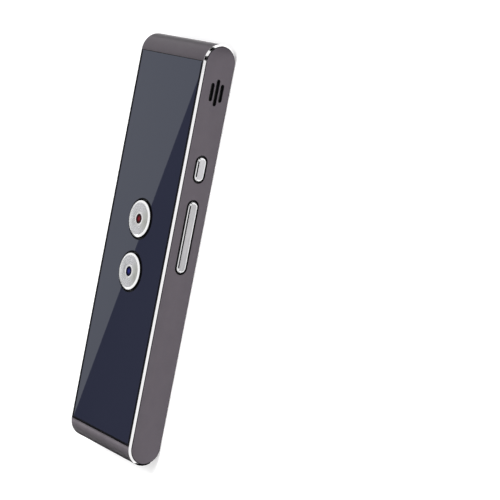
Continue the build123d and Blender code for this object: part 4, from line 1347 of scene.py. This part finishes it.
    def _rim_edge(self, edge: object) -> bool:
        """Whether an edge is the outer rim of an opening in the right side or the bottom end.

        Args:
            edge: The edge.

        Returns:
            True for an edge of such a rim.
        """
        if turn_between(edge) < SHARP:
            return False
        if on_plane(edge.verts, Axis.X, self.width / 2):
            return True
        x, y, z = (sum((v.co for v in edge.verts), Vector()) / 2) / MM
        reach = math.hypot(abs(y) - self.straight, z - self.middle)
        at_end = y < -self.straight and reach > self.middle - 2 * SLACK
        return at_end and abs(x) < self.width / 2 - CLEAR

    def _zone(self, middle: Vector, normal: Vector) -> Finish:
        """Blasted outside, cut edge, painted gap shade or milled inside.

        The walls of the openings in the side take the painted gap shade, and so does the fine line
        between each side face and its cut edge.

        Args:
            middle: Middle of a face, in millimetres.
            normal: Its normal.

        Returns:
            The finish of the face.
        """
        depth = self.width / 2 - abs(middle.x)
        past = abs(middle.y) - self.straight
        reach = math.hypot(max(past, 0.0), middle.z - self.middle)
        below = self.middle - reach
        at_end = abs(past) < self.end_room + SLACK and middle.z > self.middle
        on_top = abs(middle.y) < self.straight and middle.z > self.thickness - 2 * SLACK
        in_line = below < self.cut + self.painted_shade_line and depth < self.painted_shade_line
        in_opening = self.rim_round < depth < self.wall - SLACK and below > CLEAR
        # Painted gap shade on the end wall of the panel's opening and on the fine line by the cut
        # edge.
        if at_end and abs(normal.y) > FACING:
            return Finishes.PAINTED_GAP_SHADE
        if in_line and self.line_lean < abs(normal.x) < FLAT:
            return Finishes.PAINTED_GAP_SHADE
        if depth + below < self.cut + 3 * SLACK:
            return Finishes.CUT_EDGE
        # Painted gap shade on the walls of the side openings and on the wall tops beside the panel.
        if in_opening or (on_top and normal.z > FACING):
            return Finishes.PAINTED_GAP_SHADE
        return Finishes.HOUSING if min(depth, below) < SKIN else Finishes.INSIDE


@dataclass
class FrontPanel:
    """The glossy window between the round ends, with a hole for each round key.

    Attributes:
        gap: Room between it and the housing.
        back: Height of its back.
        face: Height of its face.
        hole: Radius of the two key holes.
        keys: Y of the two keys.
        edge: Rounding of its edges.
        border: Width of the near-black band of painted gap shade along the sides and the lower end.
        key_border: Width of the near-black band of painted gap shade round the key holes.
        sides: Number of faces round a key hole.
    """

    gap: float = 0.1
    back: float = 11.5
    face: float = THICKNESS
    hole: float = 6.65
    keys: Pair = (KEY_Y["red"], KEY_Y["blue"])
    edge: float = 0.12
    border: float = 0.42
    key_border: float = 0.22
    sides: int = 160

    @property
    def half_width(self) -> float:
        """Half its width."""
        return WIDTH / 2 - WALL - self.gap

    @property
    def half_length(self) -> float:
        """Half its length, which is that of the housing's straight part less the gap."""
        return (LENGTH - THICKNESS) / 2 - self.gap

    def build(self) -> None:
        """Builds the panel and puts it on the device."""
        panel = slab(
            "front_window",
            (-self.half_width, -self.half_length, self.back),
            (self.half_width, self.half_length, self.face),
        )
        deep = 4 * (self.face - self.back)
        for y in self.keys:
            hole = rod("hole", (0, y, self.face), self.hole, deep, Axis.Z, self.sides)
            panel.combine(hole, Join.CUT)
        with panel.editing():
            panel.weld()
            panel.soften(
                lambda e: on_plane(e.verts, Axis.Z, self.face) and turn_between(e) > SHARP,
                self.edge,
            )
            panel.select(
                Pick.FACES,
                lambda f: on_plane(f.verts, Axis.Z, self.face) and f.normal.z > FLAT,
            )
            # These insets mark off the bands that carry the painted gap shade.
            panel.step_in(self.key_border, (0, 0, 0))
            panel.step_in(self.border - self.key_border, (0, 0, 0))
        panel.smooth()
        panel.dress((Finishes.GLASS, Finishes.PANEL_SHADE_BAND, Finishes.PANEL_BACK), self._zone)
        panel.settle("device", "panel_gloss", "front_panel")

    def _zone(self, middle: Vector, normal: Vector) -> Finish:
        """Clear face, band of painted gap shade or printed back.

        Args:
            middle: Middle of a face, in millimetres.
            normal: Its normal.

        Returns:
            The finish of the face.
        """
        if middle.z < (self.back + self.face) / 2:
            return Finishes.PANEL_BACK
        # Painted gap shade: the band along the sides, the lower end and round the key holes, and
        # the panel's edges.
        shade_band_reach = self.edge + self.border
        near_side = abs(middle.x) > self.half_width - shade_band_reach
        near_end = middle.y < shade_band_reach - self.half_length
        near_key = any(
            math.hypot(middle.x, middle.y - y) < self.hole + self.edge + self.key_border
            for y in self.keys
        )
        clear = normal.z > FACING and not (near_side or near_end or near_key)
        return Finishes.GLASS if clear else Finishes.PANEL_SHADE_BAND


@dataclass
class RoundKey:
    """A round key of the front: a turned cap with a bevelled rim, and a coloured inlay in it.

    Attributes:
        colour: Word that the key's nodes and body begin with.
        y: Place of its axis.
        tone: Colour of the inlay, linear.
        deep: Colour of the inlay towards its rim, linear: painted shade round its edge.
        radius: Radius of the cap.
        low: Height of the cap's underside.
        high: Height of the top of its rim.
        rim: Width and drop of the rim's bevel.
        dish: How much lower the face is at the inlay.
        ring: Width and drop of the bright ring round the inlay.
        dot: Radius of the inlay.
        dot_top: Height of the inlay's edge.
        dot_hollow: Depth of the hollow in the inlay.
        dot_round: Rounding of the inlay's edge.
        gap: Room between the inlay and its hole.
        rounding: Rounding of the cap's edges.
        skirt: Height of the cap's lowest part, which has no rounded edges.
        sides: Number of faces round the cap.
        steps: Number of rings in the inlay's hollow.
    """

    colour: str
    y: float
    tone: Tone
    deep: Tone
    radius: float = 6.125
    low: float = 11.9
    high: float = 13.35
    rim: Pair = (0.75, 0.3)
    dish: float = 0.05
    ring: Pair = (0.65, 0.02)
    dot: float = 1.65
    dot_top: float = 13.3
    dot_hollow: float = 0.1
    dot_round: float = 0.03
    gap: float = 0.02
    rounding: float = 0.05
    skirt: float = 0.3
    sides: int = 192
    steps: int = 10

    @property
    def spun(self) -> Finish:
        """The finish of the turned face."""
        return Finishes.turned_face(self.colour, self.y)

    def build(self) -> None:
        """Builds the cap and the inlay and puts both on the key's body."""
        self._cap()
        self._inlay()

    def _cap(self) -> None:
        """Turns the cap from a plain disc."""
        shoulder = self.high - self.rim[1]
        name, centre = f"{self.colour}_key_turned_cap", (0, self.y, (self.low + shoulder) / 2)
        cap = rod(name, centre, self.radius, shoulder - self.low, Axis.Z, self.sides)
        hole = self.dot + self.gap
        face = self.radius - self.rim[0] - self.ring[0] - hole
        with cap.editing():
            cap.select(Pick.FACES, lambda f: f.normal.z > FACING)
            cap.step_in(self.rim[0], (0, 0, self.rim[1]))
            cap.step_in(face, (0, 0, -self.dish))
            cap.step_in(self.ring[0], (0, 0, -self.ring[1]))
            cap.sink((0, 0, self.low - self.high + self.dish + self.ring[1]))
            bpy.ops.mesh.delete(type="FACE")
            cap.select(Pick.FACES, lambda f: f.normal.z < -FACING)
            cap.step_in(self.radius - hole, (0, 0, 0))
            bpy.ops.mesh.delete(type="FACE")
            cap.close_up()
            for radius in (self.radius, self.radius - self.rim[0], hole + self.ring[0], hole):
                cap.soften(lambda e, r=radius: self._ring_edge(e, r), self.rounding)
        cap.smooth()
        cap.dress((self.spun, Finishes.KEY_RIM, Finishes.PAINTED_GAP_SHADE, Finishes.KEY_RING), self._zone)
        cap.settle(f"{self.colour}_key", "key_metal", f"{self.colour}_key_cap")

    def _ring_edge(self, edge: object, radius: float) -> bool:
        """Whether an edge lies on a circle round the key's axis, above the skirt.

        Args:
            edge: The edge.
            radius: Radius of the circle.

        Returns:
            True for an edge on it.
        """
        ends = [math.hypot(v.co.x, v.co.y - self.y * MM) / MM for v in edge.verts]
        above = all(v.co.z > (self.low + self.skirt) * MM for v in edge.verts)
        return above and all(abs(end - radius) < SLACK / 2 for end in ends)

    def _zone(self, middle: Vector, normal: Vector) -> Finish:
        """Spun face, polished rim, wall in painted gap shade or satin ring.

        Args:
            middle: Middle of a face, in millimetres.
            normal: Its normal.

        Returns:
            The finish of the face.
        """
        reach = math.hypot(middle.x, middle.y - self.y)
        # The cap's wall takes the painted gap shade, near black, for the shade in the gap round the
        # cap.
        if normal.z < UPRIGHT:
            return Finishes.PAINTED_GAP_SHADE
        if reach < self.dot + self.gap + self.ring[0] + self.rounding:
            return Finishes.KEY_RING
        on_face = reach < self.radius - self.rim[0] and normal.z > FACING
        return self.spun if on_face else Finishes.KEY_RIM

    def _inlay(self) -> None:
        """Turns the inlay from a plain disc, with a shallow hollow in its top."""
        name, centre = f"{self.colour}_key_inlay", (0, self.y, (self.low + self.dot_top) / 2)
        inlay = rod(name, centre, self.dot, self.dot_top - self.low, Axis.Z, self.sides // 2)
        ball = ball_radius(self.dot, self.dot_hollow)
        with inlay.editing():
            inlay.select(Pick.FACES, lambda f: f.normal.z > FACING)
            depth = 0.0
            for step in range(1, self.steps):
                reach = self.dot * (1 - step / self.steps)
                lower = math.sqrt(ball**2 - reach**2) - (ball - self.dot_hollow)
                inlay.step_in(self.dot / self.steps, (0, 0, depth - lower))
                depth = lower
            inlay.soften(
                lambda e: self._ring_edge(e, self.dot) and turn_between(e) > SHARP, self.dot_round
            )
        inlay.smooth()
        # The inlay's colour deepens to near black at its rim: painted shade round its edge.
        lens = Finish(
            f"{self.colour}_inlay_resin", self.tone, self.deep, Relief.LENS,
            size=self.dot, depth=0.0005, rough=0.22, swing=0.06, ior=1.12,
            centre=(0.0, self.y, 0.0),
        )
        inlay.dress((lens,), lambda middle, normal: lens)
        inlay.settle(f"{self.colour}_key", f"{self.colour}_inlay", f"{self.colour}_key_dot")


@dataclass
class SideKey:
    """A key in the right side: a metal cap with a double bevel all round its satin face.

    Attributes:
        name: Word that the key's nodes and body begin with.
        y: Middle of the key.
        length: Length of the cap.
        tone: Brightness of its face, linear; the two keys differ in it as painted light.
        z: Height of its middle.
        height: Height of the cap.
        back: X of its back.
        face: X of its outer face.
        bevels: Width and rise of each bevel, the outer one first.
        rounding: Rounding between the bevels.
        sides: Number of faces round both ends together.
    """

    name: str
    y: float
    length: float
    tone: float
    z: float = SIDE_ROW
    height: float = 3.4
    back: float = 18.7
    face: float = 19.7
    bevels: tuple[Pair, ...] = ((0.2, 0.26), (0.42, 0.21))
    rounding: float = 0.03
    sides: int = 96

    def build(self) -> None:
        """Builds the cap and puts it on the key's body."""
        level = self.face - sum(rise for _, rise in self.bevels)
        middle = (self.y, self.z)
        bar = Bar(middle, self.length, self.height, self.back, level, self.sides)
        cap = bar.build(f"{self.name}_key_bevelled_cap")
        levels = [level]
        with cap.editing():
            cap.select(Pick.FACES, lambda f: f.normal.x > FACING)
            for width, rise in self.bevels:
                cap.step_in(width, (rise, 0, 0))
                levels.append(levels[-1] + rise)
            for x in levels:
                cap.soften(lambda e, x=x: on_plane(e.verts, Axis.X, x), self.rounding)
        cap.smooth()
        satin, edge = Finishes.side_face(self.name, self.tone), Finishes.SIDE_KEY_EDGE
        cap.dress((satin, edge), lambda middle, normal: satin if normal.x > FLAT else edge)
        cap.settle(f"{self.name}_key", "side_key_metal", f"{self.name}_key_cap")


# ------------------------------------------------------------------ the inside
@dataclass
class SnapDome:
    """A thin steel dome behind a side key; the real one flattens while the key is pressed, this one
    keeps its shape.

    Attributes:
        node: The node that it stands for.
        y: Place of its middle.
        joint: The joint that presses it; not used.
        z: Height of its middle.
        base: X of the film that it sits on.
        radius: Radius of its rim.
        height: Height of its crest above the film.
        metal: Thickness of the metal.
        rim: Height of the straight edge of its rim.
        keep: Share of its height that is left at the joint's limit; not used.
        steps: Number of rings in the dome.
        sides: Number of faces round it.
    """

    node: str
    y: float
    joint: str
    z: float = SIDE_ROW
    base: float = 16.0
    radius: float = 2.0
    height: float = 0.35
    metal: float = 0.1
    rim: float = 0.02
    keep: float = 0.3
    steps: int = 10
    sides: int = 64

    @property
    def ball(self) -> float:
        """Radius of the ball that the dome's outside is part of."""
        return ball_radius(self.radius, self.height)

    def build(self) -> None:
        """Presses the dome out of a thin disc and sets it on the film."""
        name, centre = f"{self.node}_shell", (self.base + self.rim / 2, self.y, self.z)
        dome = rod(name, centre, self.radius, self.rim, Axis.X, self.sides)
        inner = self.ball - self.metal
        hollow = math.sqrt(inner**2 - (self.ball - self.height) ** 2)
        with dome.editing():
            dome.select(Pick.FACES, lambda f: f.normal.x > FACING)
            self._press(dome, self.ball, self.radius, self.rim)
            dome.select(Pick.FACES, lambda f: f.normal.x < -FACING)
            dome.step_in(self.radius - hollow, (0, 0, 0))
            self._press(dome, inner, hollow, 0.0)
            dome.close_up()
        dome.smooth()
        dome.dress((Finishes.DOME,), lambda middle, normal: Finishes.DOME)
        dome.settle("device", "dome_steel", self.node)
        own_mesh(dome.piece)

    def _press(self, dome: Bench, ball: float, reach: float, level: float) -> None:
        """Insets the selected disc ring by ring and raises each ring onto a ball.

        Args:
            dome: The dome on its bench.
            ball: Radius of the ball.
            reach: Radius of the disc.
            level: How far the disc is above the film.
        """
        foot = self.ball - self.height
        for step in range(1, self.steps):
            raised = math.sqrt(ball**2 - (reach * (1 - step / self.steps)) ** 2) - foot
            dome.step_in(reach / self.steps, (raised - level, 0, 0))
            level = raised


class Works:
    """A sub-assembly whose pieces keep the shapes of their solids.

    Attributes:
        PARTS: The nodes that each finish goes on.
    """

    PARTS: dict[Finish, tuple[str, ...]] = {}

    def dress(self) -> None:
        """Gives each piece its finish."""
        for finish, names in self.PARTS.items():
            for name in names:
                piece = bpy.data.objects[name]
                piece.data.materials.clear()
                piece.data.materials.append(finish.material())
                LOG.info("%s: %s", name, finish.name)


class KeyWorks(Works):
    """What carries the keys and what they press."""

    PARTS = {
        Finishes.DARK: (
            "red_key_carrier", "red_key_switch", "blue_key_carrier", "blue_key_switch",
            "power_key_carrier", "volume_key_carrier",
        ),
        Finishes.WHITE: ("red_key_plunger", "blue_key_plunger"),
        Finishes.FILM: ("side_key_flex",),
        Finishes.STEEL: ("side_key_bracket",),
    }


class FrontFrame(Works):
    """The frame under the panel, with its tape, screws and antenna."""

    PARTS = {
        Finishes.TAPE: ("panel_tape",),
        Finishes.FRAME: ("front_frame",),
        Finishes.STEEL: ("frame_screws",),
        Finishes.FILM: ("antenna_film",),
    }


class MainBoard(Works):
    """The main board and what is soldered or screwed to it."""

    PARTS = {
        Finishes.BOARD: ("main_board",),
        Finishes.RESIN: ("processor_chip", "memory_chip", "charger_chip", "radio_chip"),
        Finishes.STEEL: ("board_screws", "radio_shield", "clock_crystal"),
        Finishes.WHITE: ("board_passives",),
    }


class PowerPack(Works):
    """The battery with its protection board, leads and pads, and the flat cable that passes it."""

    PARTS = {
        Finishes.FOIL: ("battery_cell",),
        Finishes.BOARD: ("battery_guard_board",),
        Finishes.TAPE: ("battery_tape",),
        Finishes.FOAM: ("battery_foam",),
        Finishes.WHITE: ("battery_socket", "battery_plug"),
        Finishes.LEAD: ("battery_leads",),
        Finishes.FILM: ("ribbon_cable",),
        Finishes.DARK: ("main_ribbon_socket", "charge_ribbon_socket"),
    }


class SoundWorks(Works):
    """The loudspeaker behind the slots and the microphone in the bottom end."""

    PARTS = {
        Finishes.DARK: ("speaker_basket", "speaker_cradle"),
        Finishes.MAGNET: ("speaker_magnet",),
        Finishes.DIAPHRAGM: ("speaker_diaphragm",),
        Finishes.FOAM: ("speaker_gasket",),
        Finishes.MESH: ("speaker_mesh",),
        Finishes.LEAD: ("speaker_leads", "microphone_leads"),
        Finishes.RUBBER: ("microphone_boot",),
        Finishes.STEEL: ("microphone",),
    }


class ChargingEnd(Works):
    """The small board in the bottom end with the charging socket."""

    PARTS = {
        Finishes.BOARD: ("charge_board",),
        Finishes.STEEL: ("charge_board_screws", "usb_shell"),
        Finishes.DARK: ("usb_tongue",),
        Finishes.GOLD: ("usb_contacts",),
    }


# ------------------------------------------------------------------ the studio
def place_in_scene(name: str, data: bpy.types.ID) -> bpy.types.Object:
    """Makes an object of some data and puts it in the scene.

    Args:
        name: Name of the object.
        data: The mesh, lamp or camera that it shows.

    Returns:
        The object.
    """
    made = bpy.data.objects.new(name, data)
    bpy.context.scene.collection.objects.link(made)
    return made


@dataclass
class Softbox:
    """A square lamp with a soft white front.

    Attributes:
        name: Name of the lamp.
        place: Where it hangs.
        aim: The point that it faces.
        size: Length of its sides.
        watts: Its power.
        mirrored: Whether it shows in reflections beside the white surroundings.
    """

    name: str
    place: Point
    aim: Point
    size: float
    watts: float
    mirrored: bool = False

    def build(self) -> None:
        """Hangs the lamp and turns it to its aim."""
        lamp = bpy.data.lights.new(self.name, "AREA")
        lamp.shape = "SQUARE"
        lamp.size = self.size * MM
        lamp.energy = self.watts
        holder = place_in_scene(self.name, lamp)
        holder.visible_glossy = self.mirrored
        holder.location = metres(self.place)
        holder.rotation_mode = "QUATERNION"
        towards = metres(self.aim) - metres(self.place)
        holder.rotation_quaternion = towards.to_track_quat("-Z", "Y")
        LOG.info("lamp %s", self.name)


@dataclass
class Viewpoint:
    """The camera.

    Attributes:
        place: Where it stands.
        right: Direction towards the right edge of its view.
        up: Direction towards the upper edge.
        lens: Focal length.
        sensor: Width of the sensor.
        clip: Nearest and farthest distance that it sees.
    """

    place: Point = (488.08525, 61.95312, 339.54704)
    right: Point = (0.58203974, 0.19352678, -0.78979563)
    up: Point = (-0.19260479, 0.97643848, 0.09732056)
    lens: float = 128.4525
    sensor: float = 36.0
    clip: Pair = (10.0, 20000.0)

    def build(self) -> None:
        """Makes the camera and turns it as its directions say."""
        data = bpy.data.cameras.new("camera")
        data.lens = self.lens
        data.sensor_width = self.sensor
        data.clip_start, data.clip_end = (distance * MM for distance in self.clip)
        camera = place_in_scene("camera", data)
        right, up = Vector(self.right), Vector(self.up)
        turned = Matrix((right, up, right.cross(up))).transposed().to_4x4()
        camera.matrix_world = Matrix.Translation(metres(self.place)) @ turned
        bpy.context.scene.camera = camera
        LOG.info("camera in place")


@dataclass
class DarkCard:
    """A black or grey card that shows in reflections only.

    Attributes:
        name: Name of the card.
        outline: Its four corners.
        shade: How pale its cloth is, from 0 to 1.
    """

    name: str
    outline: tuple[Point, Point, Point, Point]
    shade: float = 0.002

    def build(self) -> None:
        """Hangs the card."""
        mesh = bpy.data.meshes.new(self.name)
        mesh.from_pydata([metres(corner) for corner in self.outline], [], [(0, 1, 2, 3)])
        card = place_in_scene(self.name, mesh)
        card.visible_camera = card.visible_diffuse = card.visible_shadow = False
        card.visible_transmission = card.visible_volume_scatter = False
        mesh.materials.append(self._cloth())
        LOG.info("card %s", self.name)

    def _cloth(self) -> bpy.types.Material:
        """Makes cloth of the card's shade, unless it is there.

        Returns:
            The cloth.
        """
        name = f"cloth_{self.shade}"
        made = bpy.data.materials.get(name)
        if made is not None:
            return made
        made = bpy.data.materials.new(name)
        made.use_nodes = True
        surface = made.node_tree.nodes["Principled BSDF"]
        surface.inputs["Base Color"].default_value = (self.shade, self.shade, self.shade, 1.0)
        surface.inputs["Roughness"].default_value = 1.0
        surface.inputs["Specular IOR Level"].default_value = 0.0
        return made


def laid(name: str, *corners: Pair, shade: float = DarkCard.shade) -> DarkCard:
    """A card that lies on the floor.

    Args:
        name: Name of the card.
        *corners: X and Y of its four corners, or of the lowest and the highest one alone.
        shade: How pale its cloth is.

    Returns:
        The card.
    """
    if len(corners) == 2:
        (left, near), (right, far) = corners
        corners = ((left, near), (right, near), (right, far), (left, far))
    return DarkCard(name, tuple((x, y, MAT_LEVEL) for x, y in corners), shade)


@dataclass
class DiagonalFlag:
    """A black card whose straight edge shows as a diagonal in the glossy panel.

    Attributes:
        mirror: Height of the surface that it is reflected in.
        edge: The two ends of the card's edge, as points on that surface.
        overhang: How far the card goes on past both ends, as a share of its edge.
        width: Width of the part of the surface that it darkens.
        reach: Distance of the card from the middle of the device.
    """

    mirror: float = THICKNESS
    edge: tuple[Pair, Pair] = ((19.05, 63.6), (-17.52, -63.6))
    overhang: float = 0.15
    width: float = 62.0
    reach: float = 380.0

    def build(self, eye: Point) -> None:
        """Hangs the card for an eye at a given point.

        Args:
            eye: Where the eye is.
        """
        image = Vector((eye[0], eye[1], 2 * self.mirror - eye[2]))
        start, end = (Vector((*point, self.mirror)) for point in self.edge)
        spare = (end - start) * self.overhang
        start, end = start - spare, end + spare
        aside = Vector((self.width, 0, 0))
        middle = Vector((0, 0, self.mirror))
        ahead = (middle - image).normalized()
        depth = (middle - image).length + self.reach
        corners = [
            tuple(image + (point - image) * (depth / (point - image).dot(ahead)))
            for point in (start, end, end + aside, start + aside)
        ]
        DarkCard("diagonal_flag", tuple(corners)).build()


@dataclass
class Studio:
    """Pale floor, even white surroundings and soft lamps.

    Attributes:
        floor_size: Length of the floor's sides.
        floor_tone: Colour of the floor.
        floor_opening: Half sizes of the opening under the device, which lets light at its back.
        lift: Light added to the floor where it is seen, near and far, so that it reads white.
        lift_span: Distances between which the lift goes from the one to the other.
        ambient: Strength of the surroundings on matt surfaces.
        lamps: The lamps.
        cards: The dark cards, beside the one that draws the diagonal.
    """

    floor_size: float = 12000.0
    floor_tone: float = 0.9
    floor_opening: Pair = (18.4, 63.6)
    lift: Pair = (0.22, 0.6)
    lift_span: Pair = (300.0, 1300.0)
    ambient: float = 0.62
    lamps: tuple[Softbox, ...] = (
        Softbox("key_lamp", (250.0, 420.0, 900.0), (0.0, 0.0, 0.0), size=500.0, watts=5.5),
        Softbox("fill_lamp", (700.0, -500.0, 700.0), (0.0, 0.0, 0.0), size=600.0, watts=4.0),
        Softbox(
            "end_lamp", (-314.0, -200.0, 208.0), (0.0, -65.0, 12.0),
            size=40.0, watts=0.038, mirrored=True,
        ),
    )
    cards: tuple[DarkCard, ...] = (
        DarkCard(
            "bevel_flag",
            (
                (525.0, -116.0, 74.0), (394.0, -116.0, 355.0),
                (394.0, 104.0, 355.0), (525.0, 104.0, 74.0),
            ),
        ),
        DarkCard(
            "end_flag",
            (
                (-345.0, -90.0, MAT_LEVEL), (-150.0, -385.0, MAT_LEVEL),
                (-150.0, -385.0, 60.0), (-345.0, -90.0, 60.0),
            ),
        ),
        DarkCard(
            "upper_corner_flag",
            (
                (370.5, 68.8, 254.8), (124.7, 90.7, 425.3),
                (114.8, 234.1, 392.6), (360.6, 212.2, 222.1),
            ),
        ),
        DarkCard(
            "lower_corner_flag",
            (
                (332.8, 330.0, 133.3), (74.1, 406.6, 264.5),
                (22.7, 481.5, 119.4), (281.3, 404.8, -11.9),
            ),
        ),
        laid("front_mat", (-75.0, -128.0), (23.0, -71.0)),
        laid("rear_mat", (-110.0, 78.0), (5.0, 130.0), shade=0.34),
        laid("side_mat", (46.0, -140.0), (300.0, -140.0), (300.0, 140.0), (66.0, 140.0)),
        laid("upper_end_mat", (20.5, 68.0), (40.0, 84.0), shade=0.5),
        laid("lower_end_mat", (24.0, -110.0), (60.0, -76.0)),
    )

    def build(self) -> None:
        """Sets up the floor, the surroundings, the lamps, the camera and the cards."""
        self._floor()
        self._surroundings()
        for lamp in self.lamps:
            lamp.build()
        viewpoint = Viewpoint()
        viewpoint.build()
        DiagonalFlag().build(viewpoint.place)
        for card in self.cards:
            card.build()
        bpy.context.scene.view_settings.view_transform = "Standard"

    def _floor(self) -> None:
        """Lays a plain floor that is seen from above only, open right under the device."""
        mesh = bpy.data.meshes.new("studio_floor")
        half = self.floor_size / 2
        corners = [
            metres((x * side, y * end, FLOOR_LEVEL))
            for x, y in ((half, half), self.floor_opening)
            for side, end in ((-1, -1), (1, -1), (1, 1), (-1, 1))
        ]
        mesh.from_pydata(corners, [], [(i, (i + 1) % 4, (i + 1) % 4 + 4, i + 4) for i in range(4)])
        floor = place_in_scene("studio_floor", mesh)
        material = bpy.data.materials.new("pale_floor")
        wiring = Wiring.of(material)
        tone = (self.floor_tone, self.floor_tone, self.floor_tone, 1.0)
        matt = wiring.add("ShaderNodeBsdfDiffuse", {"Color": tone})
        seen = self._seen(wiring)
        place = wiring.add("ShaderNodeTexCoord").outputs["Object"]
        away = wiring.add("ShaderNodeVectorMath", {0: place}, operation="LENGTH").outputs["Value"]
        near, far = self.lift
        step = wiring.between(away, *(distance * MM for distance in self.lift_span))
        rise = wiring.maths("MULTIPLY", step, far - near)
        lift = wiring.maths("MULTIPLY", seen, wiring.maths("ADD", rise, near))
        glow = wiring.add("ShaderNodeEmission", {"Strength": lift})
        above = wiring.add("ShaderNodeAddShader", {0: matt.outputs[0], 1: glow.outputs[0]})
        below = wiring.add("ShaderNodeBsdfTransparent")
        from_below = wiring.add("ShaderNodeNewGeometry").outputs["Backfacing"]
        sides = {0: from_below, 1: above.outputs[0], 2: below.outputs[0]}
        mixed = wiring.add("ShaderNodeMixShader", sides)
        wiring.add("ShaderNodeOutputMaterial", {"Surface": mixed.outputs[0]})
        mesh.materials.append(material)

    @staticmethod
    def _seen(wiring: Wiring) -> Socket:
        """Asks whether a surface is seen directly, in a reflection or through glass.

        Args:
            wiring: The wiring of the surface.

        Returns:
            1 where it is, otherwise 0.
        """
        path = wiring.add("ShaderNodeLightPath").outputs
        seen = wiring.maths("MAXIMUM", path["Is Camera Ray"], path["Is Glossy Ray"])
        return wiring.maths("MAXIMUM", seen, path["Is Transmission Ray"])

    def _surroundings(self) -> None:
        """Makes the surroundings white to the eye and in reflections, and dimmer as light."""
        world = bpy.data.worlds.new("surroundings")
        bpy.context.scene.world = world
        wiring = Wiring.of(world)
        seen = self._seen(wiring)
        white = (1.0, 1.0, 1.0, 1.0)
        dim, full = (
            wiring.add("ShaderNodeBackground", {"Color": white, "Strength": strength}).outputs[0]
            for strength in (self.ambient, 1.0)
        )
        mixed = wiring.add("ShaderNodeMixShader", {0: seen, 1: dim, 2: full})
        wiring.add("ShaderNodeOutputWorld", {"Surface": mixed.outputs[0]})


def main() -> None:
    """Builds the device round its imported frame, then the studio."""
    logging.basicConfig(level=logging.INFO, format="%(message)s")
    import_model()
    HousingShell().build()
    FrontPanel().build()
    # The second colour of each inlay is painted shade at its rim.
    red, painted_rim_shade_red = (0.17, 0.008, 0.015), (0.010, 0.0005, 0.001)
    blue, painted_rim_shade_blue = (0.020, 0.024, 0.16), (0.001, 0.001, 0.012)
    RoundKey("red", KEY_Y["red"], red, painted_rim_shade_red).build()
    RoundKey("blue", KEY_Y["blue"], blue, painted_rim_shade_blue).build()
    # The power key is set brighter than the volume key: painted light, not a different metal.
    SideKey("power", KEY_Y["power"], length=7.9, tone=0.53).build()
    SideKey("volume", KEY_Y["volume"], length=23.5, tone=0.43).build()
    SnapDome("power_dome", KEY_Y["power"], "power_key_press").build()
    SnapDome("volume_up_dome", KEY_Y["volume"] + DOME_REACH, "volume_key_rock").build()
    SnapDome("volume_down_dome", KEY_Y["volume"] - DOME_REACH, "volume_key_rock").build()
    for works in (KeyWorks(), FrontFrame(), MainBoard(), PowerPack(), SoundWorks(), ChargingEnd()):
        works.dress()
    Studio().build()


if __name__ == "__main__":
    main()
